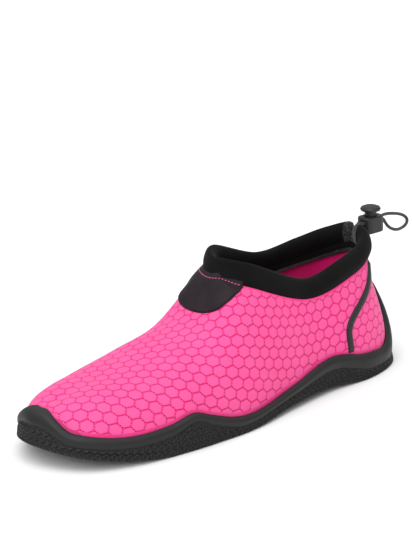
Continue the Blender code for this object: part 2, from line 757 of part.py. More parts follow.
def make_lock_button(parts, cutters, plastic, pivot):
    """The push button: a domed head on a stem whose slot lets the cords through."""
    place, cord_z = lock_place()
    top = place.z + LOCK_HEIGHT
    head = top + PRESS_TRAVEL + 2 * GAP
    foot = place.z + LOCK_FLOOR + PRESS_TRAVEL + GAP
    stem, disc = STEM_DIAMETER / 2, BUTTON_DIAMETER / 2
    profile = (
        (0.0, head + BUTTON_THICKNESS),
        (disc * 0.55, head + BUTTON_THICKNESS * 0.93),
        (disc * 0.88, head + BUTTON_THICKNESS * 0.72),
        (disc, head + BUTTON_THICKNESS * 0.42),
        (disc * 0.93, head + BUTTON_THICKNESS * 0.10),
        (stem * 1.10, head),
        (stem, head - GAP),
        (stem, foot),
        (0.0, foot),
    )
    mesh = bpy.data.meshes.new("cord_lock_button")
    mesh.from_pydata([(r, 0, z - cord_z) for r, z in profile], [(k, k + 1) for k in range(len(profile) - 1)], [])
    button = add_object("cord_lock_button", mesh, plastic, parts)
    button.location = (place.x, 0, cord_z)
    turned = button.modifiers.new("turned", "SCREW")
    turned.steps = turned.render_steps = ROUND_SIDES
    turned.use_merge_vertices = True
    turned.merge_threshold = WELD * 10
    turned.use_normal_calculate = True
    span = CORD_SPACING + CORD_DIAMETER + 2 * GAP
    tall = CORD_DIAMETER + 2 * GAP + PRESS_TRAVEL
    slot = (2 * STEM_DIAMETER, span, tall)
    cut(button, box_cutter("cut_slot", slot, (place.x, 0, cord_z + PRESS_TRAVEL / 2), cutters))
    button.data.shade_smooth()
    button.data.set_sharp_from_angle(angle=math.radians(40))
    button.parent = pivot
    button.matrix_parent_inverse = pivot.matrix_world.inverted()
    return button


def cord(name, points, material, parts):
    """An elastic cord: a round tube along smooth points."""
    curve = bpy.data.curves.new(name, "CURVE")
    curve.dimensions = "3D"
    curve.bevel_depth = CORD_DIAMETER / 2
    curve.bevel_resolution = 2
    curve.use_fill_caps = True
    line = curve.splines.new("POLY")
    line.points.add(len(points) - 1)
    for point, place in zip(line.points, points):
        point.co = (*place, 1)
    curve.materials.append(material)
    piece = bpy.data.objects.new(name, curve)
    parts.objects.link(piece)
    return piece


def make_draw_cords(parts, elastic):
    """Both ends of the drawcord, from the notch in the collar through the lock."""
    place, cord_z = lock_place()
    start = collar_top()[0] - COLLAR_THICKNESS / 3
    behind = place.x - LOCK_LENGTH / 2
    for name, side in (("draw_cord_outer", 1), ("draw_cord_inner", -1)):
        y = side * CORD_SPACING / 2
        points = ((start, y, cord_z), ((start + behind) / 2, y, cord_z), (behind, y, cord_z))
        cord(name, points, elastic, parts)


def make_cord_loop(parts, elastic):
    """The free loop behind the lock."""
    place, cord_z = lock_place()
    route = spline(np.array(CORD_ROUTE), np.linspace(0, len(CORD_ROUTE) - 1, CORD_POINTS))
    behind = place.x - LOCK_LENGTH / 2 - GAP
    points = [(behind - back, aside, cord_z + lift) for back, aside, lift in route]
    cord("cord_loop", points, elastic, parts)


def main():
    for old in list(bpy.data.objects):
        bpy.data.objects.remove(old)
    parts = bpy.data.collections.new("water_shoe")
    cutters = bpy.data.collections.new("cutters")
    for collection in (parts, cutters):
        bpy.context.scene.collection.children.link(collection)
    rubber = new_material("sole_rubber", (0.022, 0.023, 0.023), 0.55)
    fabric = new_material("stretch_fabric", (0.90, 0.045, 0.25), 0.75)
    neoprene = new_material("collar_neoprene", (0.018, 0.018, 0.019), 0.85)
    foam = new_material("footbed_foam", (0.03, 0.03, 0.03), 0.9)
    patch = new_material("patch_rubber", (0.045, 0.03, 0.04), 0.6)
    plastic = new_material("lock_plastic", (0.045, 0.045, 0.046), 0.5)
    elastic = new_material("elastic_cord", (0.03, 0.03, 0.03), 0.8)

    make_outsole(parts, cutters, rubber)
    make_insole(parts, foam)
    add_object("upper", upper_mesh(), fabric, parts)
    make_collar(parts, cutters, neoprene)
    make_tab(parts, cutters, patch)
    make_tape("side_tape_outer", 1, parts, rubber)
    make_tape("side_tape_inner", -1, parts, rubber)
    place, cord_z = lock_place()
    pivot = bpy.data.objects.new("lock_press_axis", None)
    pivot.location = (place.x, 0, cord_z)
    parts.objects.link(pivot)
    bpy.context.view_layer.update()
    make_lock_body(parts, cutters, plastic)
    make_lock_button(parts, cutters, plastic, pivot)
    make_draw_cords(parts, elastic)
    make_cord_loop(parts, elastic)


main()
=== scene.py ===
"""Left water shoe: pink honeycomb stretch fabric on a black rubber cup sole, with a padded collar,
a patch over the throat, seam tapes and an elastic cord with a spring lock at the heel."""

import math

import bmesh
import bpy
import numpy as np
from mathutils import Matrix, Vector
from mathutils.bvhtree import BVHTree


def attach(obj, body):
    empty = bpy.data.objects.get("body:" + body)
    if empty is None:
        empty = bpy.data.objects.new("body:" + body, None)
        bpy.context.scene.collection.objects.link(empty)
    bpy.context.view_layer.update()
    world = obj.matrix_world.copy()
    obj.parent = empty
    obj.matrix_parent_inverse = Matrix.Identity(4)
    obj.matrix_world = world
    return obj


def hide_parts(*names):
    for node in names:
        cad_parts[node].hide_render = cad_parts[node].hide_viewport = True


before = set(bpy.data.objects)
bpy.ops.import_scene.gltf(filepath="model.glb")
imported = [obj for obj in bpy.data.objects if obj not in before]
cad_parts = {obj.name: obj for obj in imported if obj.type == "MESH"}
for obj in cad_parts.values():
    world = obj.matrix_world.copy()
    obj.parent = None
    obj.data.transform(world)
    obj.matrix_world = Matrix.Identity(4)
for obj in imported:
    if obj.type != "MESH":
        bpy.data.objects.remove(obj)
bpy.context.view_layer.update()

scene = bpy.context.scene


# Camera, floor and light: the shoe stands alone on a white table under a soft studio light, seen
# from its outer side, a little ahead and above. The light comes from a large panel overhead and
# a smaller one before the toe.
VIEW_TURN, VIEW_LIFT, VIEW_ROLL = (math.radians(angle) for angle in (41.7, 19.2, -1.8))
VIEW_AIM = Vector((0.09, 0.0, 0.035))
VIEW_DISTANCE = 0.968
VIEW_LENS = 115.34
VIEW_SHIFT = (-0.02295, 0.1233)
FLOOR_SIZE = 14.0
LAMPS = (
    # name, way to the light, softness in degrees, strength
    ("panel_overhead", (0.25, 0.05, 1.00), 60, 1.18),
    ("panel_toe", (1.00, 0.55, 0.70), 30, 0.72),
)
SKY_HEIGHTS = (0.05, 0.75)
SKY_GLOW = (0.38, 0.98)

back = Vector((math.sin(VIEW_TURN) * math.cos(VIEW_LIFT), math.cos(VIEW_TURN) * math.cos(VIEW_LIFT),
               math.sin(VIEW_LIFT)))
level = Vector((-math.cos(VIEW_TURN), math.sin(VIEW_TURN), 0))
upright = back.cross(level)
across = level * math.cos(VIEW_ROLL) + upright * math.sin(VIEW_ROLL)
above = upright * math.cos(VIEW_ROLL) - level * math.sin(VIEW_ROLL)
camera_data = bpy.data.cameras.new("camera")
camera_data.lens = VIEW_LENS
camera_data.sensor_width = 36
camera_data.shift_x, camera_data.shift_y = VIEW_SHIFT
camera = bpy.data.objects.new("camera", camera_data)
turned = Matrix((across, above, back)).transposed()
camera.matrix_world = Matrix.Translation(VIEW_AIM + back * VIEW_DISTANCE) @ turned.to_4x4()
scene.collection.objects.link(camera)
scene.camera = camera
scene.view_settings.view_transform = "Standard"

world = bpy.data.worlds.new("studio")
world.use_nodes = True
sky = world.node_tree.nodes
heading = sky.new("ShaderNodeSeparateXYZ")
world.node_tree.links.new(sky.new("ShaderNodeTexCoord").outputs["Generated"], heading.inputs[0])
tent = sky.new("ShaderNodeMapRange")
for socket, value in zip(list(tent.inputs)[1:], (*SKY_HEIGHTS, *SKY_GLOW)):
    socket.default_value = value
world.node_tree.links.new(heading.outputs[2], tent.inputs[0])
sky["Background"].inputs["Color"].default_value = (1, 1, 1, 1)
world.node_tree.links.new(tent.outputs[0], sky["Background"].inputs["Strength"])
scene.world = world
for name, way, softness, strength in LAMPS:
    lamp_data = bpy.data.lights.new(name, "SUN")
    lamp_data.angle = math.radians(softness)
    lamp_data.energy = strength
    lamp = bpy.data.objects.new(name, lamp_data)
    lamp.location = Vector(way)
    lamp.rotation_euler = Vector(way).to_track_quat("Z", "Y").to_euler()
    scene.collection.objects.link(lamp)

floor_mesh = bpy.data.meshes.new("table_top")
half = FLOOR_SIZE / 2
floor_mesh.from_pydata([(-half, -half, 0), (half, -half, 0), (half, half, 0), (-half, half, 0)], [], [(0, 1, 2, 3)])
table_top = bpy.data.objects.new("table_top", floor_mesh)
scene.collection.objects.link(table_top)
table_paint = bpy.data.materials.new("table_paint")
table_paint.use_nodes = True
table_shader = table_paint.node_tree.nodes["Principled BSDF"]
table_shader.inputs["Base Color"].default_value = (0.93, 0.93, 0.93, 1)
table_shader.inputs["Roughness"].default_value = 0.9
table_shader.inputs["Specular IOR Level"].default_value = 0.1
floor_mesh.materials.append(table_paint)


# Free cord loop: one stretch of round black elastic, braided over a rubber core. Both its ends go
# into the lock, and it stands out behind the heel in a flat drooping loop.
CORD_DIAMETER = 0.0019
CORD_EXIT = (-0.039852, -0.00125, 0.079100)
CORD_ROUTE = (
    # behind the lock, aside, above its hole, in metres
    (0.0000, -0.00125, 0.0000), (0.0025, -0.00135, 0.0005), (0.0055, -0.0015, 0.0009),
    (0.0095, -0.0016, 0.0006), (0.0137, -0.0015, -0.0002), (0.0175, -0.0012, -0.0011),
    (0.0208, -0.0007, -0.0024), (0.0232, -0.0002, -0.0042), (0.0239, 0.0002, -0.0061),
    (0.0228, 0.0005, -0.0079), (0.0200, 0.0009, -0.0091), (0.0165, 0.0012, -0.0096),
    (0.0130, 0.0014, -0.0094), (0.0090, 0.0015, -0.0080), (0.0056, 0.0015, -0.0057),
    (0.0034, 0.0014, -0.0030), (0.0018, 0.0013, -0.0008), (0.0000, 0.00125, 0.0000),
)
# The cord's grey, and the near black painted into its braid's sunk gaps as shade.
CORD_BLACK = (0.020, 0.020, 0.021)
CORD_GREY = (0.050, 0.050, 0.052)


def spline(rows, at, closed=False):
    """Reads a smooth curve through a table's rows, at places counted in rows."""
    at = np.asarray(at, float)
    count = len(rows)
    if not closed:
        before = 2 * rows[0] - rows[1]
        after = 2 * rows[-1] - rows[-2]
        rows = np.concatenate((before[None], rows, after[None]))
        at = at + 1
    first = np.floor(at).astype(int)
    if not closed:
        first = np.clip(first, 1, count - 1)
    share = at - first
    share = share.reshape(share.shape + (1,) * (rows.ndim - 1))
    a, b, c, d = (rows[(first + k) % len(rows)] for k in (-1, 0, 1, 2))
    bend = 2 * a - 5 * b + 4 * c - d
    twist = 3 * (b - c) + d - a
    return b + 0.5 * share * (c - a + share * (bend + share * twist))


class Sketch:
    """Lays out shader nodes. Each call adds one node and gives back what it puts out."""

    def __init__(self, tree):
        self.tree = tree

    def node(self, kind, settings=None, **inputs):
        made = self.tree.nodes.new(kind)
        for key, value in (settings or {}).items():
            setattr(made, key, value)
        for key, value in inputs.items():
            self.feed(made.inputs[key.replace("_", " ")], value)
        return made

    def feed(self, socket, value):
        if isinstance(value, bpy.types.NodeSocket):
            self.tree.links.new(value, socket)
        elif isinstance(value, (tuple, list)) and len(value) == 3 and socket.type == "RGBA":
            socket.default_value = (*value, 1)
        else:
            socket.default_value = value

    def maths(self, operation, *values):
        made = self.node("ShaderNodeMath", {"operation": operation})
        for socket, value in zip(made.inputs, values):
            self.feed(socket, value)
        return made.outputs[0]

    def times(self, *values):
        return self.maths("MULTIPLY", *values)

    def plus(self, *values):
        return self.maths("ADD", *values)

    def less(self, *values):
        return self.maths("SUBTRACT", *values)

    def vector(self, operation, *values):
        made = self.node("ShaderNodeVectorMath", {"operation": operation})
        for socket, value in zip(made.inputs, values):
            self.feed(socket, value)
        return made.outputs["Value" if operation in ("DOT_PRODUCT", "LENGTH") else "Vector"]

    def scaled(self, vector, share):
        return self.node("ShaderNodeVectorMath", {"operation": "SCALE"}, Vector=vector, Scale=share).outputs[0]

    def mixed(self, share, first, second):
        made = self.node("ShaderNodeMix", {"data_type": "RGBA"})
        for socket, value in zip((made.inputs[0], made.inputs[6], made.inputs[7]), (share, first, second)):
            self.feed(socket, value)
        return made.outputs[2]

    def ramp(self, value, low, high, to_low=0.0, to_high=1.0):
        """A soft step from one value to another."""
        made = self.node("ShaderNodeMapRange", {"interpolation_type": "SMOOTHSTEP"})
        for socket, number in zip(made.inputs, (value, low, high, to_low, to_high)):
            self.feed(socket, number)
        return made.outputs[0]

    def noise(self, place, size, detail=2.0, rough=0.5):
        """Soft cloudy variation with grains of this size, in metres."""
        made = self.node("ShaderNodeTexNoise", Vector=place, Scale=1 / size, Detail=detail, Roughness=rough)
        return made.outputs[0]

    def object_place(self):
        return self.node("ShaderNodeTexCoord").outputs["Object"]

    def uv(self, name):
        return self.node("ShaderNodeUVMap", {"uv_map": name}).outputs[0]

    def bump(self, height, depth, strength=1.0):
        return self.node("ShaderNodeBump", Height=height, Distance=depth, Strength=strength).outputs[0]

    def parts(self, vector):
        return self.node("ShaderNodeSeparateXYZ", Vector=vector).outputs

    def used(self, group, **inputs):
        made = self.tree.nodes.new("ShaderNodeGroup")
        made.node_tree = group
        for key, value in inputs.items():
            self.feed(made.inputs[key.replace("_", " ")], value)
        return made.outputs


def new_material(name, **shader):
    """A material with its plain values set on the shader itself."""
    made = bpy.data.materials.new(name)
    made.use_nodes = True
    body = made.node_tree.nodes["Principled BSDF"]
    for key, value in shader.items():
        body.inputs[key.replace("_", " ")].default_value = (*value, 1) if isinstance(value, tuple) else value
    return made, Sketch(made.node_tree), body


def dress(body, **faces):
    """Feeds the shader's colour, gloss and relief."""
    for key, value in faces.items():
        body.id_data.links.new(value, body.inputs[key.replace("_", " ")])


def new_group(name, inputs, outputs):
    """A node group with named sockets: inputs and outputs are (name, kind) pairs."""
    group = bpy.data.node_groups.new(name, "ShaderNodeTree")
    for way, sockets in (("INPUT", inputs), ("OUTPUT", outputs)):
        for socket, kind in sockets:
            group.interface.new_socket(socket, in_out=way, socket_type="NodeSocket" + kind)
    sketch = Sketch(group)
    taken = sketch.node("NodeGroupInput").outputs
    given = sketch.node("NodeGroupOutput").inputs
    return group, sketch, taken, given


def place_piece(name, data, *cloths):
    for cloth in cloths:
        data.materials.append(cloth)
    piece = bpy.data.objects.new(name, data)
    scene.collection.objects.link(piece)
    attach(piece, "shoe")
    return piece


def woven_cord():
    made, paint, body = new_material("woven_cord", Roughness=0.72, Sheen_Weight=0.25, Sheen_Roughness=0.45,
                                     Specular_IOR_Level=0.3)
    place = paint.object_place()
    braid = paint.node("ShaderNodeTexVoronoi", Vector=paint.vector("MULTIPLY", place, (1.6, 1.0, 1.0)),
                       Scale=1 / 0.00055).outputs["Distance"]
    # The braid's sunk gaps go near black, in patches, while its crests keep the grey: painted shade between the
    # strands.
    shade_patches = paint.ramp(paint.noise(place, 0.004), 0.35, 0.75)
    lift = paint.ramp(braid, 0.1, 0.6)
    dress(body, Base_Color=paint.mixed(paint.times(shade_patches, lift), CORD_GREY, CORD_BLACK),
          Normal=paint.bump(braid, -0.00012, 0.8))
    return made


cord_cloth = woven_cord()
route = spline(np.array(CORD_ROUTE), np.linspace(0, len(CORD_ROUTE) - 1, 120))
cord_curve = bpy.data.curves.new("loop_cord", "CURVE")
cord_curve.dimensions = "3D"
cord_curve.bevel_depth = CORD_DIAMETER / 2
cord_curve.bevel_resolution = 6
cord_curve.use_fill_caps = True
cord_line = cord_curve.splines.new("POLY")
cord_line.points.add(len(route) - 1)
for point, (behind, aside, lift) in zip(cord_line.points, route):
    point.co = (CORD_EXIT[0] - behind, aside, CORD_EXIT[2] + lift, 1)
loop_cord = place_piece("loop_cord", cord_curve, cord_cloth)
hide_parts("cord_loop")
for name in ("draw_cord_outer", "draw_cord_inner"):
    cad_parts[name].material_slots[0].material = cord_cloth


# Form of the foot: every piece of cloth and rubber follows one surface, the outside of the upper
# on its last. A place on it is a station round the foot and a rise from the sole to the collar
# seam, or to the ridge of the vamp.
LAST_LENGTH = 0.246
BALL_WIDTH = 0.084
INSTEP_HEIGHT = 0.064
HEEL_HEIGHT = 0.072
TOE_SPRING = 0.012
ARCH_LIFT = 0.005
HEEL_X = -0.13 * LAST_LENGTH
SOLE_PLATE = 0.0045
UPPER_WALL = 0.0022
BAND_HEIGHT = 0.020
GAP = 0.0003
WELD = 0.000001
OUTLINE = np.array((
    # length, outer side, inner side, toe lift, arch lift, lean, low pull, top pull
    (0.000, 0.000, 0.000, 0.00, 0.50, -4, 0.42, 0.35),
    (0.040, 0.262, 0.245, 0.00, 0.05, 6, 0.42, 0.35),
    (0.140, 0.378, 0.355, 0.00, -0.20, 14, 0.42, 0.35),
    (0.280, 0.380, 0.335, 0.00, 0.60, 24, 0.42, 0.35),
    (0.420, 0.430, 0.310, 0.00, 0.60, 42, 0.45, 0.35),
    (0.550, 0.490, 0.365, -0.02, 0.10, 90, 0.45, 0.30),
    (0.660, 0.485, 0.435, -0.10, -0.20, 90, 0.45, 0.36),
    (0.750, 0.460, 0.480, -0.05, -0.10, 90, 0.45, 0.46),
    (0.860, 0.400, 0.450, 0.22, 0.00, 90, 0.45, 0.50),
    (0.955, 0.245, 0.330, 0.60, 0.00, 90, 0.45, 0.50),
    (1.000, -0.070, 0.070, 0.90, 0.00, 90, 0.45, 0.50),
))
COLLAR = np.array((
    # length, outer side, inner side, height, inner lift, roll, thick, tip, binding
    (0.048, 0.000, 0.000, 0.960, 0.000, 0.84, 1.05, 2, 1.0),
    (0.078, 0.190, 0.190, 0.900, 0.005, 0.84, 1.05, 8, 1.0),
    (0.160, 0.275, 0.270, 0.825, 0.040, 0.84, 1.00, 18, 1.0),
    (0.310, 0.290, 0.280, 0.755, 0.105, 0.80, 1.00, 24, 1.0),
    (0.466, 0.215, 0.200, 0.955, 0.070, 0.86, 1.00, 20, 0.3),
    (0.512, 0.000, 0.000, 1.025, 0.000, 0.74, 1.00, 14, 0.0),
))
RIDGE = np.array((
    # length, side, height
    (0.512, 0.00, 1.154),
    (0.590, -0.01, 0.84),
    (0.690, -0.02, 0.69),
    (0.790, -0.04, 0.58),
    (0.880, -0.06, 0.51),
    (0.935, -0.07, 0.46),
))
BAND = np.array((
    # station, top of the rubber band, lower edge of its bead
    (0.00, 2.35, 0.30),
    (0.60, 2.15, 0.28),
    (1.00, 1.10, 0.26),
    (1.35, 0.75, 0.24),
    (2.00, 0.73, 0.26),
    (2.75, 0.86, 0.47),
    (3.90, 0.51, 0.28),
    (4.70, 0.42, 0.22),
    (5.50, 0.52, 0.24),
    (6.10, 0.76, 0.50),
    (6.65, 0.95, 0.72),
    (7.20, 0.82, 0.54),
    (8.20, 0.60, 0.32),
    (8.90, 0.58, 0.28),
    (9.22, 0.60, 0.28),
    (9.42, 0.73, 0.38),
    (9.60, 0.84, 0.48),
    (10.0, 0.85, 0.50),
))
TOE = len(OUTLINE) - 1
THROAT = len(COLLAR) - 1


def whole(half_table):
    """A half table as a closed ring of rows, the outer side and then the inner one."""
    outer = np.column_stack((half_table[:, 0], half_table[:, 1], half_table[:, 3:]))
    inner = np.column_stack((half_table[:, 0], -half_table[:, 2], half_table[:, 3:]))
    return np.vstack((outer, inner[-2:0:-1]))


def fold(station, rows=TOE):
    """A station round the foot as a row of a half table, and 1 or -1 for its side."""
    turn = np.mod(station, 2 * rows)
    return np.where(turn <= rows, turn, 2 * rows - turn), np.where(turn <= rows, 1.0, -1.0)


def unit(vectors):
    return vectors / np.maximum(np.linalg.norm(vectors, axis=-1, keepdims=True), 1e-9)


def placed(plan, height):
    """Shares of length and width as metres."""
    x = HEEL_X + plan[..., 0] * LAST_LENGTH
    return np.stack((x, plan[..., 1] * BALL_WIDTH, height + 0 * x), -1)


def outline_at(station):
    return spline(whole(OUTLINE), np.mod(station, 2 * TOE), closed=True)


def floor_at(station):
    """Height of the sole's underside above the floor."""
    row = outline_at(station)
    return np.maximum(row[..., 2], 0) * TOE_SPRING + np.maximum(row[..., 3], 0) * ARCH_LIFT


def collar_row(station):
    row, side = fold(station)
    row = np.minimum(row, THROAT)
    seam = spline(whole(COLLAR), np.where(side > 0, row, 2 * THROAT - row), closed=True)
    seam[..., 2] += np.where(side > 0, 0, seam[..., 3])
    return seam


def top_at(station):
    """Top of the wall: the collar seam behind the throat, the ridge before it."""
    row, side = fold(station)
    seam = collar_row(station)
    seam = placed(seam, seam[..., 2] * HEEL_HEIGHT)
    ridge = spline(RIDGE, np.clip(row - THROAT, 0, TOE - THROAT))
    ridge = placed(ridge, ridge[..., 2] * INSTEP_HEIGHT)
    return np.where((row <= THROAT)[..., None], seam, ridge)


def feather_at(station):
    return placed(outline_at(station), floor_at(station) + SOLE_PLATE + GAP)


def surface(station, rise):
    """A point of the upper's outside: each wall is one curve from the feather line to its top."""
    station, rise = np.broadcast_arrays(np.asarray(station, float), np.asarray(rise, float))
    foot, top, shape = feather_at(station), top_at(station), outline_at(station)
    row, side = fold(station)
    inward = unit((top - foot) * (1, 1, 0))
    square = np.stack((0 * side, -side, 0 * side), -1)
    straight = np.clip((row - THROAT + 1) * (TOE - 1.5 - row), 0, 1)[..., None]
    inward = unit(inward * (1 - straight) + square * straight)
    lean = np.radians(shape[..., 4:5])
    climb = inward * np.sin(lean) + (0, 0, 1) * np.cos(lean)
    height = np.linalg.norm(top - foot, axis=-1, keepdims=True)
    low = foot + (0, 0, 1) * height * shape[..., 5:6]
    high = top - climb * height * shape[..., 6:7]
    v = rise[..., None]
    w = 1 - v
    return w ** 3 * foot + 3 * w * w * v * low + 3 * w * v * v * high + v ** 3 * top


def outward(station, rise):
    """The surface's normal. On the ridge it is the mean of both sides."""
    station, rise = np.broadcast_arrays(np.asarray(station, float), np.asarray(rise, float))
    row = fold(station)[0]

    def normal(place):
        near = np.minimum(rise, 0.96)
        along = surface(place + 0.05, near) - surface(place - 0.05, near)
        up = surface(place, near + 0.03) - surface(place, near - 0.03)
        return unit(np.cross(up, along))

    both = unit(normal(station) + normal(-station))
    ridge = ((row >= THROAT) & (rise > 0.999))[..., None]
    return np.where(ridge, both, normal(station))


def skin(station, rise, out):
    """A point at a distance out from the upper's outside."""
    return surface(station, rise) + outward(station, rise) * np.asarray(out, float)[..., None]


def rises_at(station, heights):
    """The rises at which each wall reaches some heights above the floor, one row a height."""
    steps = np.linspace(0, 1, 81)
    levels = surface(station[None], steps[:, None])[..., 2]
    return np.array([np.interp(heights[:, k], levels[:, k], steps) for k in range(len(station))]).T


def eased(table, column, at):
    """A column of a table read at any station, with smooth slopes through its rows."""
    places, values = table[:, 0], table[:, column]
    slopes = np.gradient(values, places)
    first = np.clip(np.searchsorted(places, at, side="right") - 1, 0, len(places) - 2)
    span = places[first + 1] - places[first]
    s = (at - places[first]) / span
    climb = values[first + 1] - values[first]
    start, end = slopes[first] * span, slopes[first + 1] * span
    return values[first] + s * (start + s * (3 * climb - 2 * start - end + s * (start + end - 2 * climb)))


def band_height(station, column):
    """Height above the floor of the rubber band's top (1) or of its bead's lower edge (2)."""
    return floor_at(station) + eased(BAND, column, fold(station)[0]) * BAND_HEIGHT


def closed(points):
    """Rows of points round the foot, with the first column again at the end."""
    return np.concatenate((points, points[:, :1]), 1)


def grid_mesh(name, points, maps=None, keep=None, flip=False):
    """A mesh from rows of points, welded where they meet, with a map for each named layer."""
    rows, columns = points.shape[:2]
    number = np.arange(rows * columns).reshape(rows, columns)
    faces = np.stack((number[:-1, :-1], number[:-1, 1:], number[1:, 1:], number[1:, :-1]), -1)
    faces = faces[keep] if keep is not None else faces.reshape(-1, 4)
    if flip:
        faces = faces[:, ::-1]
    mesh = bpy.data.meshes.new(name)
    mesh.from_pydata(points.reshape(-1, 3).tolist(), [], faces.tolist())
    for layer, values in (maps or {}).items():
        spots = values.reshape(-1, 2)[faces.ravel()]
        mesh.uv_layers.new(name=layer).data.foreach_set("uv", spots.ravel())
    shape = bmesh.new()
    shape.from_mesh(mesh)
    bmesh.ops.delete(shape, geom=[v for v in shape.verts if not v.link_faces], context="VERTS")
    bmesh.ops.remove_doubles(shape, verts=shape.verts, dist=WELD)
    bmesh.ops.dissolve_degenerate(shape, edges=shape.edges, dist=WELD)
    shape.to_mesh(mesh)
    shape.free()
    mesh.shade_smooth()
    return mesh


# Upper: two panels of pink stretch knit, embossed all over with a honeycomb and pricked with small
# holes along some of its lines. The vamp and the heel panel are sewn together under the seam
# tapes. A smooth crimson lining backs them.
FABRIC_COLUMNS = 320
FABRIC_ROWS = 46
CELL_WIDTH = 0.0073
CELL_ROW = 0.0056
VAMP_TURN, HEEL_TURN = 44.0, 16.0
TOE_SOFT_REACH = 0.012
TOE_SOFT_PASSES = 14
LINING_ROWS = 24
LINING_PASSES = 24
HOLE_GAP = 0.0015
HOLE_RADIUS, FAINT_RADIUS = 0.00041, 0.00037
STROKE_WIDTH, STROKE_REACH = 0.00042, 0.28
TAPE = np.array((
    # station, share of the wall between the rubber band and the collar seam
    (1.05, 0.955),
    (1.30, 0.830),
    (1.75, 0.700),
    (2.20, 0.550),
    (2.43, 0.350),
    (2.46, 0.020),
))
FOLDS = (
    # soft troughs (-) and ridges (+): station and share of the wall at both ends, width, depth in mm
    (3.2, 0.80, 2.9, 0.25, 11.0, -0.55),
    (3.9, 0.85, 3.7, 0.45, 9.0, 0.40),
    (4.9, 0.66, 4.4, 0.20, 10.0, -0.35),
    (5.9, 0.98, 5.5, 0.40, 9.0, -0.30),
    (7.1, 0.97, 6.8, 0.40, 10.0, -0.35),
    (2.1, 0.93, 2.6, 0.60, 8.0, 0.35),
    (0.5, 0.55, 1.6, 0.35, 9.0, -0.35),
    (16.9, 0.80, 17.2, 0.25, 11.0, -0.50),
    (14.1, 0.98, 14.6, 0.40, 9.0, -0.30),
    (19.3, 0.55, 18.4, 0.35, 9.0, -0.35),
)
PINK = (0.95, 0.050, 0.270)
PINK_PALE = (0.93, 0.150, 0.390)
# Paler pink painted on the puffed cell middles as a highlight.
PINK_CELL_HIGHLIGHT = (0.90, 0.115, 0.350)
# Dark pink: painted shade in the strokes and the knit's dips, and the lining's random darker patches.
PINK_LINE = (0.60, 0.004, 0.110)
# Dark crimson painted as shade in the holes and in the knit's dips.
PINHOLE_SHADE = (0.26, 0.002, 0.060)
CRIMSON = (0.99, 0.0085, 0.25)

# The honeycomb group: a place in cells in, the distances to the cell's three pairs of edges and
# the places along them out, all in shares of a cell's width.
ROW_STEP = math.sqrt(3)
honeycomb, comb, taken, given = new_group(
    "honeycomb", [("Place", "Vector")],
    [("Nearest", "Float"), ("Upright", "Float"), ("Rising", "Float"), ("Falling", "Float"),
     ("Upright Along", "Float"), ("Rising Along", "Float"), ("Falling Along", "Float")])
size = (1.0, ROW_STEP, 1.0)
half_size = (0.5, ROW_STEP / 2, 0.5)
low_size = (-0.5, -ROW_STEP / 2, -0.5)
flat_place = comb.vector("MULTIPLY", taken[0], (1, 1, 0))
first = comb.vector("WRAP", flat_place, half_size, low_size)
second = comb.vector("WRAP", comb.vector("ADD", flat_place, half_size), half_size, low_size)
nearer = comb.maths("LESS_THAN", comb.vector("LENGTH", comb.vector("MULTIPLY", first, (1, 1, 0))),
                    comb.vector("LENGTH", comb.vector("MULTIPLY", second, (1, 1, 0))))
spot = comb.vector("ADD", comb.scaled(first, nearer),
                   comb.scaled(second, comb.less(1.0, nearer)))
edges = []
for number, turn in enumerate((0, 60, 120)):
    square_on = (math.cos(math.radians(turn)), math.sin(math.radians(turn)), 0)
    line = (-square_on[1], square_on[0], 0)
    gap = comb.less(0.5, comb.maths("ABSOLUTE", comb.vector("DOT_PRODUCT", spot, square_on)))
    edges.append(gap)
    comb.feed(given[1 + number], gap)
    comb.feed(given[4 + number], comb.vector("DOT_PRODUCT", spot, line))
comb.feed(given[0], comb.maths("MINIMUM", edges[0], comb.maths("MINIMUM", edges[1], edges[2])))


def tape_station(share):
    """Row of the outline where the seam under a tape runs, at a share of the wall."""
    return np.interp(share, TAPE[::-1, 1], TAPE[::-1, 0])


def segment_lift(points, start, end, width, depth):
    """A soft trough or ridge along a line between two points."""
    way = end - start
    along = np.clip(((points - start) * way).sum(-1) / (way * way).sum(), 0, 1)
    off = np.linalg.norm(points - start - along[..., None] * way, axis=-1)
    fade = 0.35 + 0.65 * np.sin(np.pi * np.clip(along, 0.02, 0.98))
    return depth * np.exp(-(off / (width * 0.5)) ** 2) * fade


def wall_rise(station, share):
    """The rise at a share of the wall between the rubber band and the top."""
    station = np.atleast_1d(np.asarray(station, float))
    low = rises_at(station, band_height(station, 1)[None])[0]
    return low + (1 - low) * share


stations = np.arange(FABRIC_COLUMNS) * (2 * TOE / FABRIC_COLUMNS)
band_rise = rises_at(stations, band_height(stations, 1)[None])[0]
shares = np.concatenate(((-0.10, -0.05), np.linspace(0, 1, FABRIC_ROWS) ** 0.92))[:, None]
rises = np.where(shares < 0, band_rise * (1 + shares * 4), band_rise + (1 - band_rise) * shares)
fabric = surface(stations[None], rises)
fabric_out = outward(stations[None], rises)
lift = 0 * rises
for s0, v0, s1, v1, width, depth in FOLDS:
    ends = [surface(np.array([s]), wall_rise(s, v))[0] for s, v in ((s0, v0), (s1, v1))]
    lift = lift + segment_lift(fabric, *ends, width / 1000, depth / 1000)
under_collar = np.where(fold(stations)[0] < THROAT, np.clip((1 - shares) / 0.1, 0, 1), 1)
calm = np.clip(shares / 0.12, 0, 1) * under_collar
fabric = fabric + fabric_out * (lift * calm)[..., None]

steps = np.linalg.norm(np.diff(fabric, axis=0), axis=2)
climbed = np.vstack((0 * steps[:1], np.cumsum(steps, 0)))
above_band = climbed - climbed[2]
below_seam = np.where(fold(stations)[0] <= THROAT, climbed[-1] - climbed, 0.05)
margins = closed(np.stack((above_band, below_seam), -1))
centre_share = (shares[1:, 0] + shares[:-1, 0]) / 2
centre_row = fold(stations + TOE / FABRIC_COLUMNS)[0]
in_heel = centre_row[None] < tape_station(np.clip(centre_share, 0, 1))[:, None]


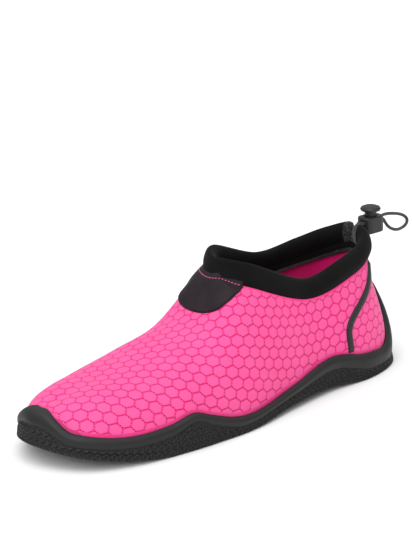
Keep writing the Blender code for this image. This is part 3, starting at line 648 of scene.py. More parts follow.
def flatten(piece, near_a, near_b, turn):
    """Lays a panel flat, as it was cut: a map in metres with the line from a to b along u."""
    bpy.context.view_layer.objects.active = piece
    piece.select_set(True)
    piece.data.uv_layers.new(name="fabric")
    piece.data.uv_layers.active = piece.data.uv_layers["fabric"]
    bpy.ops.object.mode_set(mode="EDIT")
    bpy.ops.mesh.select_all(action="SELECT")
    bpy.ops.uv.unwrap(method="MINIMUM_STRETCH", fill_holes=False, iterations=30, margin=0.0)
    bpy.ops.object.mode_set(mode="OBJECT")
    piece.select_set(False)
    mesh = piece.data

    def read(items, key, width, kind=float):
        values = np.zeros(len(items) * width, kind)
        items.foreach_get(key, values)
        return values.reshape(-1, width)

    flat = read(mesh.uv_layers["fabric"].data, "uv", 2)
    solid = read(mesh.vertices, "co", 3)
    on_point = np.zeros((len(solid), 2))
    on_point[read(mesh.loops, "vertex_index", 1, int)[:, 0]] = flat
    start, end = read(mesh.edges, "vertices", 2, int).T
    long_solid, long_flat = (np.linalg.norm(spots[start] - spots[end], axis=1).sum() for spots in (solid, on_point))
    scale = long_solid / long_flat
    a, b = (int(np.argmin(np.linalg.norm(solid - np.array(place), axis=1))) for place in (near_a, near_b))
    way = on_point[b] - on_point[a]
    angle = math.atan2(way[1], way[0]) - math.radians(turn)
    spin = np.array(((math.cos(angle), -math.sin(angle)), (math.sin(angle), math.cos(angle))))
    flat = (flat - on_point[a]) @ spin * scale * (1, -1)
    mesh.uv_layers["fabric"].data.foreach_set("uv", flat.ravel())


def stretch_fabric():
    made, paint, body = new_material("honeycomb_knit", Roughness=0.74, Sheen_Weight=0.30, Sheen_Roughness=0.38,
                                     Specular_IOR_Level=0.25)
    body.inputs["Sheen Tint"].default_value = (1.0, 0.62, 0.80, 1)
    place = paint.object_place()
    fabric_map = paint.uv("fabric")
    drift = paint.node("ShaderNodeTexNoise", Vector=place, Scale=45.0, Detail=1.0).outputs["Color"]
    wander = paint.scaled(paint.vector("SUBTRACT", drift, (0.5, 0.5, 0.5)), 0.0012)
    cells = paint.vector("MULTIPLY", paint.vector("ADD", fabric_map, wander),
                         (1 / CELL_WIDTH, ROW_STEP / 2 / CELL_ROW, 0))
    comb_out = paint.used(honeycomb, Place=cells)
    margin = paint.parts(paint.uv("margins"))
    inside = paint.times(paint.ramp(margin[0], 0.0010, 0.0020), paint.ramp(margin[1], 0.0008, 0.0016))

    def dots(edge, along, radius):
        """Small round spots along one kind of edge."""
        run = paint.times(along, CELL_WIDTH / HOLE_GAP)
        off = paint.times(paint.less(paint.maths("FRACT", paint.plus(run, 40.5)), 0.5), HOLE_GAP)
        aside = paint.times(edge, CELL_WIDTH)
        reach = paint.maths("SQRT", paint.plus(paint.times(off, off), paint.times(aside, aside)))
        return paint.times(paint.ramp(reach, radius * 1.35, radius * 0.65), inside)

    def stroke(edge, along):
        """A short solid line along the middle of one kind of edge."""
        aside = paint.ramp(paint.times(edge, CELL_WIDTH), STROKE_WIDTH * 1.4, STROKE_WIDTH * 0.5)
        middle = paint.ramp(paint.maths("ABSOLUTE", along), STROKE_REACH, STROKE_REACH * 0.8)
        return paint.times(paint.times(aside, middle), inside)

    # The holes, the faint dots and the strokes are sunk in the relief and painted dark: painted shade in them.
    holes = dots(comb_out["Falling"], comb_out["Falling Along"], HOLE_RADIUS)
    strokes = stroke(comb_out["Rising"], comb_out["Rising Along"])
    faint = dots(comb_out["Upright"], comb_out["Upright Along"], FAINT_RADIUS)
    # The puffed middles of the cells are painted paler: a painted highlight on the emboss.
    middle = paint.times(paint.ramp(comb_out["Nearest"], 0.03, 0.13), inside)
    knit = paint.noise(paint.vector("MULTIPLY", fabric_map, (1.0, 1.6, 1.0)), 0.00045, 2.0, 0.6)
    cloud = paint.noise(place, 0.018, 2.0)
    ground = paint.mixed(paint.ramp(cloud, 0.35, 0.7, 0.0, 0.28), PINK, PINK_PALE)
    # Darker where the knit's relief dips: painted shade in the knit.
    ground = paint.mixed(paint.ramp(knit, 0.30, 0.75, 0.30, 0.0), ground, PINK_LINE)
    colour = paint.mixed(paint.times(middle, 0.70), ground, PINK_CELL_HIGHLIGHT)
    colour = paint.mixed(paint.times(strokes, 0.85), colour, PINK_LINE)
    colour = paint.mixed(paint.times(faint, 0.80), colour, PINHOLE_SHADE)
    colour = paint.mixed(paint.times(holes, 0.95), colour, PINHOLE_SHADE)
    puff = paint.ramp(comb_out["Nearest"], 0.0, 0.16, 0.0, 1.0)
    sunk = paint.plus(holes, paint.times(strokes, 0.8))
    height = paint.less(paint.times(paint.times(puff, inside), 0.45), sunk)
    height = paint.plus(height, paint.times(knit, 0.30))
    dress(body, Base_Color=colour,
          Roughness=paint.ramp(knit, 0.2, 0.8, 0.82, 0.66),
          Normal=paint.bump(height, 0.00028, 0.6))
    return made


def lining_fabric():
    made, paint, body = new_material("smooth_lining", Roughness=0.62, Sheen_Weight=0.35, Sheen_Roughness=0.4,
                                     Specular_IOR_Level=0.3)
    place = paint.object_place()
    knit = paint.noise(paint.vector("MULTIPLY", place, (1.0, 1.0, 2.2)), 0.0006, 2.0, 0.6)
    shade = paint.noise(place, 0.02, 1.0)
    colour = paint.mixed(paint.ramp(shade, 0.3, 0.7, 0.0, 0.25), CRIMSON, PINK_LINE)
    # Darker where the knit's relief dips: painted shade in the knit.
    dress(body, Base_Color=paint.mixed(paint.ramp(knit, 0.2, 0.8, 0.15, 0.0), colour, PINHOLE_SHADE),
          Roughness=paint.ramp(knit, 0.2, 0.8, 0.72, 0.55),
          Normal=paint.bump(knit, 0.00012, 0.5))
    return made


pink_knit = stretch_fabric()
ridge_a = top_at(np.array((6.0,)))[0]
ridge_b = top_at(np.array((9.0,)))[0]
heel_a = surface(np.array((0.0,)), np.array((0.55,)))[0]
heel_b = surface(np.array((0.75,)), np.array((0.55,)))[0]
panels = {}
for name, keep, a, b, turn in (("vamp_panel", ~in_heel, ridge_a, ridge_b, VAMP_TURN),
                               ("heel_panel", in_heel, heel_a, heel_b, HEEL_TURN)):
    mesh = grid_mesh(name, closed(fabric), {"margins": margins}, keep, flip=True)
    panels[name] = place_piece(name, mesh, pink_knit)
    flatten(panels[name], a, b, turn)
toe_pole = Vector(top_at(np.array((float(TOE),)))[0])
shape = bmesh.new()
shape.from_mesh(panels["vamp_panel"].data)
pinch = [v for v in shape.verts if (v.co - toe_pole).length < TOE_SOFT_REACH]
for _ in range(TOE_SOFT_PASSES):
    bmesh.ops.smooth_vert(shape, verts=pinch, factor=0.5, use_axis_x=True, use_axis_y=True, use_axis_z=True)
shape.to_mesh(panels["vamp_panel"].data)
shape.free()
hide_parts("upper")


def evened(normals, passes, axis=0):
    """Normals round the foot, evened out along its girth."""
    for _ in range(passes):
        normals = unit(2 * normals + np.roll(normals, 1, axis) + np.roll(normals, -1, axis))
    return normals


lining_stations = stations[::2]
lining_rises = np.linspace(0.02, 1.0, LINING_ROWS)[:, None] + 0 * lining_stations
lining_out = evened(outward(lining_stations[None], lining_rises), LINING_PASSES, 1)
lining_points = surface(lining_stations[None], lining_rises) - lining_out * (UPPER_WALL - 0.0001)
lining = place_piece("lining", grid_mesh("lining", closed(lining_points)), lining_fabric())


# Sole: one black rubber cup, moulded in one shot. A smooth rounded bead runs in waves round its
# wall; below it the wall is covered in raised hexagon scales, and the tread has five panels.
SOLE_COLUMNS = 1200
SCALE_ROWS = 26
BEAD_ROWS = 18
RUBBER_WALL = 0.0020
SOLE_FLARE = 0.0014
BEAD_SWELL = 0.0012
EDGE_ROUND = 0.0008
SCALE_PITCH = 0.0041
SCALE_HEIGHT = 0.0010
SCALE_DIMPLE = 0.0008
WALL_PASSES = 60
TREAD_CELL = 0.0048
CHEVRON_PITCH, CHEVRON_WIDTH = 0.0027, 0.0045
TREAD_SKIN = 0.0011
# Rubber tones; the darkest is painted shade in the scales' grooves and the tread's recesses.
RUBBER = (0.0076, 0.00784, 0.00784)
RUBBER_PALE = (0.0128, 0.0131, 0.0131)
RUBBER_SHADE = (0.003, 0.003, 0.003)
PANELS = {
    # corners of the raised tread panels, as shares of the length and of the ball width
    "forefoot_outer": (
        (0.97, 0.01), (0.94, 0.15), (0.86, 0.34), (0.76, 0.42), (0.65, 0.44),
        (0.58, 0.41), (0.57, 0.36), (0.66, 0.21), (0.87, -0.14), (0.94, -0.23), (0.97, -0.19),
    ),
    "forefoot_inner": (
        (0.93, -0.29), (0.92, -0.38), (0.85, -0.42), (0.78, -0.43), (0.70, -0.39),
        (0.65, -0.29), (0.62, -0.12), (0.64, -0.04), (0.77, -0.12), (0.84, -0.18),
    ),
    "waist": (
        (0.66, 0.11), (0.65, 0.03), (0.46, 0.03), (0.39, 0.30), (0.48, 0.35), (0.56, 0.30),
    ),
    "heel_front": (
        (0.41, 0.02), (0.33, 0.05), (0.24, 0.28), (0.33, 0.31),
    ),
    "heel": (
        (0.34, -0.10), (0.22, 0.24), (0.17, 0.31), (0.11, 0.29), (0.045, 0.16),
        (0.03, -0.06), (0.07, -0.25), (0.16, -0.31), (0.28, -0.27),
    ),
}
CHEVRON_PANELS = ("forefoot_outer", "forefoot_inner", "heel")


def hexagon_gap(u, v):
    """Distance from places in a field of pointed-up hexagons, in cells, to the nearest edge."""
    gaps, offs = 0.0, np.inf
    for shift_u, shift_v in ((0.0, 0.0), (0.5, ROW_STEP / 2)):
        x = np.mod(u + shift_u, 1.0) - 0.5
        y = np.mod(v + shift_v, ROW_STEP) - ROW_STEP / 2
        off = x * x + y * y
        gap = np.minimum(0.5 - np.abs(x), 0.5 - np.abs(0.5 * np.abs(x) + ROW_STEP / 2 * np.abs(y)))
        gaps = np.where(off < offs, gap, gaps)
        offs = np.minimum(off, offs)
    return gaps, np.sqrt(offs)


def soft_step(value, low, high):
    share = np.clip((value - low) / (high - low), 0, 1)
    return share * share * (3 - 2 * share)


sole_at = np.arange(SOLE_COLUMNS) * (2 * TOE / SOLE_COLUMNS)
sole_floor = floor_at(sole_at)
sole_top, sole_low = band_height(sole_at, 1), band_height(sole_at, 2)
face = GAP + RUBBER_WALL
bead = face + BEAD_SWELL
share = np.linspace(0, 1, SCALE_ROWS)[:, None]
scale_heights = sole_floor + EDGE_ROUND + (sole_low - EDGE_ROUND - sole_floor - EDGE_ROUND) * share
bead_section = np.array((
    # share of the bead's height, way out
    (0.00, face + SOLE_FLARE / 2 - 0.0006),
    (0.06, bead - EDGE_ROUND / 2),
    (0.30, bead),
    (0.62, bead),
    (0.88, face),
    (1.00, GAP + EDGE_ROUND),
))
bead_share, bead_out = np.hsplit(spline(bead_section, np.linspace(0, 5, BEAD_ROWS)), 2)
bead_share = np.clip(bead_share, 0, 1)
bead_heights = sole_low + (sole_top - sole_low) * bead_share
all_heights = np.vstack((sole_floor[None], scale_heights, bead_heights, (sole_top - 0.0012)[None]))
all_out = np.vstack((np.full((1, SOLE_COLUMNS), face + SOLE_FLARE - EDGE_ROUND),
                     face + SOLE_FLARE * (1 - share / 2) + 0 * scale_heights,
                     bead_out + 0 * bead_heights,
                     np.full((1, SOLE_COLUMNS), -0.0004)))
all_rises = rises_at(sole_at, all_heights)
wall_out = evened(outward(sole_at[None], all_rises), WALL_PASSES, 1)
plain = surface(sole_at[None], all_rises)
low = all_heights < feather_at(sole_at)[:, 2]
base = plain + wall_out * face
base[..., 2] = np.where(low, all_heights, base[..., 2])
girth = np.linalg.norm(np.roll(base[SCALE_ROWS // 2], -1, 0) - base[SCALE_ROWS // 2], axis=1)
round_place = np.concatenate(((0,), np.cumsum(girth)[:-1]))
cells_round = round(girth.sum() / SCALE_PITCH)
hex_u = round_place / girth.sum() * cells_round
hex_v = (all_heights - sole_floor) / SCALE_PITCH
gap_share, off_share = hexagon_gap(hex_u[None] + 0 * hex_v, hex_v + 0.35)
on_wall = np.zeros_like(all_heights)
on_wall[1:1 + SCALE_ROWS] = 1
room = np.minimum(all_heights - sole_floor, sole_low - all_heights)
on_wall = on_wall * soft_step(room, 0.0002, 0.0012)
raised = SCALE_HEIGHT * soft_step(gap_share, 0.02, 0.12) - SCALE_DIMPLE * soft_step(-off_share, -0.36, -0.14)
all_out = all_out - SCALE_HEIGHT * 0.6 * on_wall + raised * on_wall
wall_points = plain + wall_out * all_out[..., None]
wall_points[..., 2] = np.where(low, all_heights, wall_points[..., 2])
sole_maps = closed(np.stack((hex_u[None] * SCALE_PITCH + 0 * hex_v, hex_v * SCALE_PITCH), -1))
sole_maps[:, -1, 0] = girth.sum()
# The raised rim of each scale, to be painted paler: a painted highlight.
rim_highlight = soft_step(gap_share, 0.02, 0.10) * soft_step(off_share, 0.16, 0.34)
# Masks for the scales' painted light: the scaled wall, and its lit rims.
scale_light_masks = closed(np.stack((on_wall, rim_highlight * on_wall), -1))


def sole_rubber():
    made, paint, body = new_material("moulded_rubber", Roughness=0.46, Specular_IOR_Level=0.36)
    place = paint.object_place()
    grain = paint.noise(place, 0.0005, 2.0, 0.6)
    cloud = paint.noise(place, 0.022, 3.0)
    wall_mask = paint.parts(paint.uv("scales"))
    # The scales' grooves and dimples are painted darker (painted shade) and their rims paler (painted highlight).
    groove_shade = paint.times(wall_mask[0], paint.less(1.0, wall_mask[1]))
    colour = paint.mixed(paint.ramp(cloud, 0.35, 0.75, 0.0, 0.55), RUBBER, RUBBER_PALE)
    colour = paint.mixed(paint.times(wall_mask[1], 0.35), colour, RUBBER_PALE)
    dress(body, Base_Color=paint.mixed(paint.times(groove_shade, 0.8), colour, RUBBER_SHADE),
          Roughness=paint.plus(paint.ramp(cloud, 0.3, 0.7, 0.44, 0.56), paint.ramp(grain, 0.3, 0.7, -0.04, 0.06)),
          Normal=paint.bump(grain, 0.00008, 0.5))
    return made


def tread_rubber():
    """The underside: rings inside hexagons, or chevron ribs in the panels marked for them."""
    made, paint, body = new_material("tread_rubber", Roughness=0.55, Specular_IOR_Level=0.4)
    place = paint.object_place()
    cells = paint.vector("MULTIPLY", place, (1 / TREAD_CELL, 1 / TREAD_CELL, 0))
    comb_out = paint.used(honeycomb, Place=cells)
    line = paint.ramp(comb_out["Nearest"], 0.02, 0.08)
    ring = paint.ramp(paint.maths("ABSOLUTE", paint.less(comb_out["Nearest"], 0.24)), 0.03, 0.08)
    rings = paint.times(line, paint.plus(0.5, paint.times(ring, 0.5)))
    parts = paint.parts(place)
    zigzag = paint.maths("PINGPONG", paint.plus(parts[1], 0.5), CHEVRON_WIDTH)
    ribs = paint.maths("SINE", paint.times(paint.plus(parts[0], zigzag), 2 * math.pi / CHEVRON_PITCH))
    chevrons = paint.ramp(ribs, -0.4, 0.3)
    panel = paint.node("ShaderNodeAttribute", {"attribute_name": "chevron_panel"}).outputs["Fac"]
    relief = paint.plus(paint.times(panel, chevrons),
                         paint.times(paint.less(1.0, panel), rings))
    grain = paint.noise(place, 0.0006, 2.0, 0.6)
    height = paint.plus(relief, paint.times(grain, 0.1))
    # Raised rings and ribs painted paler and the recesses between them darker: painted highlight and shade.
    dress(body, Base_Color=paint.mixed(relief, RUBBER_SHADE, RUBBER_PALE),
          Roughness=paint.ramp(grain, 0.3, 0.7, 0.48, 0.62),
          Normal=paint.bump(height, 0.0006, 0.9))
    return made


sole_wall_mesh = grid_mesh("sole_wall", closed(wall_points), {"fabric": sole_maps, "scales": scale_light_masks}, flip=True)
sole_wall = place_piece("sole_wall", sole_wall_mesh, sole_rubber())


def search_tree(mesh):
    return BVHTree.FromPolygons([v.co.copy() for v in mesh.vertices], [tuple(p.vertices) for p in mesh.polygons])


def outline_ring(name):
    """A tread panel's corners, rounded once, in metres."""
    plan = np.array(PANELS[name])
    after = np.roll(plan, -1, 0)
    rounded = np.stack((plan * 0.75 + after * 0.25, plan * 0.25 + after * 0.75), 1).reshape(-1, 2)
    return placed(rounded, 0.0)[:, :2]


def inside_ring(ring, x, y):
    """Whether a place lies inside a closed outline."""
    odd = False
    for (x0, y0), (x1, y1) in zip(ring, np.roll(ring, -1, 0)):
        if (y0 > y) != (y1 > y) and x < x0 + (y - y0) / (y1 - y0) * (x1 - x0):
            odd = not odd
    return odd


shape = bmesh.new()
shape.from_mesh(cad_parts["outsole"].data)
wall_tree = search_tree(sole_wall_mesh)
outer_faces = [side for side in shape.faces if side.normal.z > -0.6
               and wall_tree.find_nearest(side.calc_center_median())[3] < TREAD_SKIN]
bmesh.ops.delete(shape, geom=outer_faces, context="FACES")
bmesh.ops.delete(shape, geom=[v for v in shape.verts if not v.link_faces], context="VERTS")
mark = shape.faces.layers.float.new("chevron_panel")
rings = {name: outline_ring(name) for name in PANELS}
for side in shape.faces:
    centre = side.calc_center_median()
    if side.normal.z < -0.6 and any(inside_ring(rings[name], centre.x, centre.y) for name in CHEVRON_PANELS):
        side[mark] = 1.0
tread_mesh = bpy.data.meshes.new("sole_tread")
shape.to_mesh(tread_mesh)
shape.free()
tread_mesh.shade_flat()
tread_mesh.materials.clear()
sole_tread = place_piece("sole_tread", tread_mesh, tread_rubber())
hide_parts("outsole")


# Footbed: a thin foam insole faced with dark cloth, dropped loose into the shoe.
FOOTBED_COLUMNS = 160
FOOTBED_ROWS = 24
FOOTBED_THICKNESS = 0.0030
FOOTBED_INSET = 0.0030
WEAVE_PITCH = 0.0011
FOOTBED_CLOTH = (0.030, 0.030, 0.031)
FOOTBED_THREAD = (0.060, 0.060, 0.062)


def footbed_cloth():
    made, paint, body = new_material("footbed_cloth", Roughness=0.85, Sheen_Weight=0.2, Specular_IOR_Level=0.2)
    place = paint.object_place()
    parts = paint.parts(place)
    weave = paint.times(*(paint.maths("SINE", paint.times(parts[k], 2 * math.pi / WEAVE_PITCH)) for k in (0, 1)))
    # Threads on top painted paler and the gaps between them darker: painted highlight and shade.
    dress(body, Base_Color=paint.mixed(paint.ramp(weave, -0.6, 0.8), FOOTBED_CLOTH, FOOTBED_THREAD),
          Roughness=paint.ramp(paint.noise(place, 0.003), 0.3, 0.7, 0.78, 0.92),
          Normal=paint.bump(weave, 0.00015, 0.7))
    return made


half_at = np.linspace(0, TOE, FOOTBED_COLUMNS)
outer_edge = skin(half_at, 0 * half_at, 0 * half_at - FOOTBED_INSET)
inner_edge = skin(2 * TOE - half_at, 0 * half_at, 0 * half_at - FOOTBED_INSET)
bed_z = feather_at(half_at)[:, 2]
wide = np.sin(np.linspace(-1, 1, FOOTBED_ROWS) * math.pi / 2)
middle_line = (outer_edge + inner_edge) / 2
half_span = (outer_edge - inner_edge) / 2
bed = middle_line[None] + half_span[None] * wide[:, None, None]
bed[..., 2] = bed_z + FOOTBED_THICKNESS * (0.45 + 0.55 * soft_step(1 - np.abs(wide), 0.0, 0.06))[:, None]
under = bed[::-1].copy()
under[..., 2] = bed_z + 0.0001
footbed = place_piece("footbed", grid_mesh("footbed", np.concatenate((bed, under, bed[:1]))), footbed_cloth())
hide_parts("insole")


# Collar: a thick roll of foam under fabric-faced neoprene, sewn to the upper's edge. The cord runs
# inside it and leaves through a notch at the heel, whose two ends are bound with woven tape.
COLLAR_COLUMNS = 400
ROLL_ROWS = 44
ROLL_LINED_ROWS = 5
SEAM_PASSES = 800
COLLAR_HEIGHT = 0.0145
COLLAR_THICKNESS = 0.0072
BINDING_DROP = 0.0050
BINDING_GAP = 0.0007
BINDING_THICKNESS = 0.0011
NOTCH_HALF = 0.0012
NOTCH_ROUND = 0.0058
NOTCH_BOUND = 0.0040
NEOPRENE = (0.00413, 0.00413, 0.00435)
NEOPRENE_PALE = (0.00975, 0.00975, 0.0103)
BINDING_GREY = (0.060, 0.060, 0.064)
# Near black painted into the binding's sunk weave as shade.
BINDING_SHADE = (0.012, 0.012, 0.013)
COLLAR_SECTION = np.array((
    # along, side
    (0.10, 0.62),
    (0.34, 1.00),
    (0.64, 0.98),
    (0.88, 0.62),
    (1.00, 0.00),
    (0.90, -0.62),
    (0.64, -1.00),
    (0.32, -1.00),
    (0.04, -0.80),
))


seam_turn = (np.arange(COLLAR_COLUMNS) + 0.5) / COLLAR_COLUMNS
seam_at = -THROAT + 2 * THROAT * seam_turn
seam = top_at(seam_at)
tangent = unit(np.roll(seam, -1, 0) - np.roll(seam, 1, 0))
seam_out = evened(outward(seam_at, 1.0), SEAM_PASSES)
seam_out = unit(seam_out - tangent * (seam_out * tangent).sum(1, keepdims=True))
seam_climb = unit(np.cross(tangent, seam_out))
seam_row = collar_row(seam_at)
inward = unit((np.array((seam[:, 0].mean(), 0, 0)) - seam) * (1, 1, 0))
tip = np.radians(seam_row[:, 6:7])
roll_rise = inward * np.sin(tip) + (0, 0, 1) * np.cos(tip)
roll_high = seam_row[:, 4:5] * COLLAR_HEIGHT
roll_half = seam_row[:, 5:6] * COLLAR_THICKNESS / 2
seat = seam + seam_climb * GAP
from_notch = np.where(seam[:, 0] < 0.0, np.abs(seam[:, 1]), 1.0)
end_share = np.clip((from_notch - NOTCH_HALF) / (NOTCH_ROUND - NOTCH_HALF), 0, 1)
end_round = np.sqrt(1 - (1 - end_share) ** 2.2)[:, None]
roll_rings = [seat]
for along, side in COLLAR_SECTION:
    squeeze = 1 - (1 - end_round) * (0.80 if side > 0 else 0.25)
    low_roll = 1 - (1 - end_round) * 0.16 - (from_notch[:, None] < NOTCH_HALF) * 0.42
    way = unit(seam_climb * (1 - along) + roll_rise * along)
    facing = unit(np.cross(way, tangent))
    aside = facing * (side * roll_half * squeeze - UPPER_WALL / 2)
    roll_rings.append(seat + way * roll_high * along * low_roll + aside)
roll_rings = spline(np.array(roll_rings), np.linspace(0, len(roll_rings) - 1, ROLL_ROWS))


def neoprene():
    made, paint, body = new_material("faced_neoprene", Roughness=0.70, Sheen_Weight=0.03, Sheen_Roughness=0.40,
                                     Specular_IOR_Level=0.09)
    place = paint.object_place()
    knit = paint.noise(place, 0.00045, 2.0, 0.6)
    cloud = paint.noise(place, 0.016, 2.0)
    dust = paint.ramp(paint.noise(place, 0.0012, 3.0, 0.7), 0.62, 0.80)
    colour = paint.mixed(paint.ramp(cloud, 0.3, 0.75, 0.0, 0.5), NEOPRENE, NEOPRENE_PALE)
    colour = paint.mixed(paint.times(dust, 0.12), colour, BINDING_GREY)
    soft = paint.plus(knit, paint.times(cloud, 2.0))
    # Darker where the knit's relief dips: painted shade in the knit.
    dress(body, Base_Color=paint.mixed(paint.ramp(knit, 0.25, 0.75, 0.35, 0.0), colour, NEOPRENE),
          Roughness=paint.ramp(knit, 0.3, 0.7, 0.86, 0.72),
          Normal=paint.bump(soft, 0.00018, 0.6))
    return made


def binding_tape():
    made, paint, body = new_material("woven_binding", Roughness=0.82, Sheen_Weight=0.3, Specular_IOR_Level=0.2)
    place = paint.object_place()
    speck = paint.node("ShaderNodeTexVoronoi", Vector=place, Scale=1 / 0.0010).outputs["Distance"]
    # Darker where the weave is sunk between its threads: painted shade.
    thread = paint.ramp(speck, 0.20, 0.55)
    dress(body, Base_Color=paint.mixed(thread, BINDING_GREY, BINDING_SHADE),
          Roughness=paint.ramp(speck, 0.1, 0.6, 0.7, 0.9),
          Normal=paint.bump(speck, -0.00025, 0.8))
    return made


neoprene_cloth = neoprene()
binding_cloth = binding_tape()
collar_roll = place_piece("collar_roll", grid_mesh("collar_roll", closed(roll_rings)), neoprene_cloth, binding_cloth)
for side in collar_roll.data.polygons:
    if side.center.x < 0.0 and abs(side.center.y) < NOTCH_HALF + NOTCH_BOUND:
        side.material_index = 1
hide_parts("collar")

wall_long = np.linalg.norm(seam - feather_at(seam_at), axis=1)
hang = 1 - BINDING_DROP * np.maximum(seam_row[:, 7], 0) / wall_long
bound_edge = surface(seam_at, hang)
lining_gap = UPPER_WALL + BINDING_GAP
last_roll = roll_rings[-1]
bind_low = bound_edge - seam_out * (lining_gap + BINDING_THICKNESS * 1.1)
bind_rows = [last_roll + (bind_low - last_roll) * share + seam_out * (-0.0004 * math.sin(math.pi * share))
             for share in np.linspace(-0.05, 1, 9)]
bind_rows += [bound_edge - seam_out * (lining_gap + BINDING_THICKNESS / 2) - seam_climb * 0.0005,
              bound_edge - seam_out * (lining_gap - 0.0002), seat - seam_out * (lining_gap - 0.0002)]
binding_mesh = grid_mesh("collar_binding", closed(np.array(bind_rows)))
collar_binding = place_piece("collar_binding", binding_mesh, binding_cloth, neoprene_cloth)
for side in list(binding_mesh.polygons)[:ROLL_LINED_ROWS * COLLAR_COLUMNS]:
    side.material_index = 1


# Throat patch: a smooth bonded patch of matte rubbery film over the front of the throat, its rear
# edge caught in the collar seam. Its face is left bare.
PATCH_REACH = 0.0155
PATCH_WIDTH = 0.0410
PATCH_THICKNESS = 0.0010
PATCH_COLUMNS = 120
PATCH_ROWS = 56
PATCH_EDGE = 0.0010
PATCH_PLUM = (0.0100, 0.0050, 0.0080)
PATCH_PALE = (0.0150, 0.0090, 0.0125)
PATCH_CORNER = 0.0165
PATCH_TUCK = 0.0022
TAB = np.array((
    # half plan: ahead of the throat as a share of the reach, and aside as a share of the width
    (-0.24, 0.440),
    (0.00, 0.462),
    (0.17, 0.468),
    (0.44, 0.436),
    (0.66, 0.386),
    (0.82, 0.292),
    (0.92, 0.150),
    (0.945, 0.000),
))


def speckled(name, dark, pale, grain_size, cloud_size, dull, depth, swell=0.0, **shader):
    """A moulded or coated face: fine grain in its gloss and relief, soft clouds in its colour."""
    made, paint, body = new_material(name, **shader)
    place = paint.object_place()
    grain = paint.noise(place, grain_size, 2.0, 0.6)
    cloud = paint.noise(place, cloud_size, 2.0)
    relief = paint.plus(grain, paint.times(cloud, swell)) if swell else grain
    dress(body, Base_Color=paint.mixed(paint.ramp(cloud, 0.3, 0.7), dark, pale),
          Roughness=paint.ramp(grain, 0.3, 0.7, *dull),
          Normal=paint.bump(relief, depth, 0.5))
    return made


patch_film = speckled("patch_film", PATCH_PLUM, PATCH_PALE, 0.0004, 0.008, (0.54, 0.66), 0.00006,
                      Roughness=0.60, Specular_IOR_Level=0.18, Coat_Weight=0.05, Coat_Roughness=0.5)
fabric_tree = search_tree(panels["vamp_panel"].data)
throat = top_at(np.array((float(THROAT),)))[0]


def on_vamp(plan_points):
    """Points on the vamp's cloth under plan points, and the way that the cloth faces there."""
    points, ways = np.zeros((len(plan_points), 3)), np.zeros((len(plan_points), 3))
    for k, (x, y) in enumerate(plan_points):
        hit, normal, _, _ = fabric_tree.ray_cast(Vector((x, y, 0.12)), Vector((0, 0, -1)))
        if hit is None:
            hit, normal, _, _ = fabric_tree.find_nearest(Vector((x, y, throat[2])))
        points[k] = hit
        ways[k] = normal if normal.z > 0 else -normal
    return points, ways


def run_length(points):
    """The way along a line to each of its points."""
    return np.concatenate(((0,), np.cumsum(np.linalg.norm(np.diff(points, axis=0), axis=1))))


def read_line(values, length, at):
    """Values given along a line, read at other places on it."""
    return np.stack([np.interp(at, length, column) for column in values.T], -1)


def even_steps(points, count):
    length = run_length(points)
    return read_line(points, length, np.linspace(0, length[-1], count))


seam_halves = []
half_turn = np.linspace(3.2, THROAT, 200)
for turn in (half_turn, 2 * TOE - half_turn):
    half_seam = top_at(turn)[:, :2]
    seam_halves.append(half_seam[np.abs(half_seam[:, 1]) <= PATCH_CORNER])
seam_line = even_steps(np.concatenate((seam_halves[0], seam_halves[1][::-1])), PATCH_COLUMNS)
seam_line[1:-1] = (seam_line[:-2] + 2 * seam_line[1:-1] + seam_line[2:]) / 4
halves = []
for side, corner in ((1, seam_line[0]), (-1, seam_line[-1])):
    traced = TAB * (PATCH_REACH, PATCH_WIDTH * side) + (throat[0], 0)
    halves.append(spline(np.concatenate((corner[None], traced)), np.linspace(0, len(TAB), 200)))
front_line = even_steps(np.concatenate((halves[0], halves[1][::-1][1:])), PATCH_COLUMNS)
patch_share = np.sin(np.linspace(0, math.pi / 2, PATCH_ROWS))[:, None, None]
plan = seam_line + (front_line - seam_line) * (0.01 + 0.99 * patch_share)
on_fabric, facing = (part.reshape(plan.shape[:2] + (3,)) for part in on_vamp(plan.reshape(-1, 2)))
for _ in range(3):
    facing[1:-1] = unit(2 * facing[1:-1] + facing[:-2] + facing[2:])
    facing[:, 1:-1] = unit(2 * facing[:, 1:-1] + facing[:, :-2] + facing[:, 2:])
on_fabric[0] = on_fabric[1] + unit(on_fabric[1] - on_fabric[4]) * PATCH_TUCK
from_edge = np.stack([np.linalg.norm(row[:, None] - on_fabric[-1][None], axis=-1).min(-1) for row in on_fabric])
proud = -0.0001 + (PATCH_THICKNESS + GAP + 0.0001) * np.sqrt(np.clip(from_edge / PATCH_EDGE, 0, 1))
patch = place_piece("throat_patch", grid_mesh("throat_patch", on_fabric + facing * proud[..., None]), patch_film)
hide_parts("vamp_tab")


# Seam tapes: narrow rubbery tapes bonded over the seams between the vamp and the heel panel.
TAPE_WIDTH = 0.0042
TAPE_THICKNESS = 0.0009
TAPE_ROWS = 90
TAPE_SECTION = (
    # across, lift
    (-1.00, -0.25), (-0.99, 0.30), (-0.93, 0.72), (-0.80, 0.96), (-0.45, 1.10),
    (0.00, 1.15), (0.45, 1.10), (0.80, 0.96), (0.93, 0.72), (0.99, 0.30), (1.00, -0.25),
)


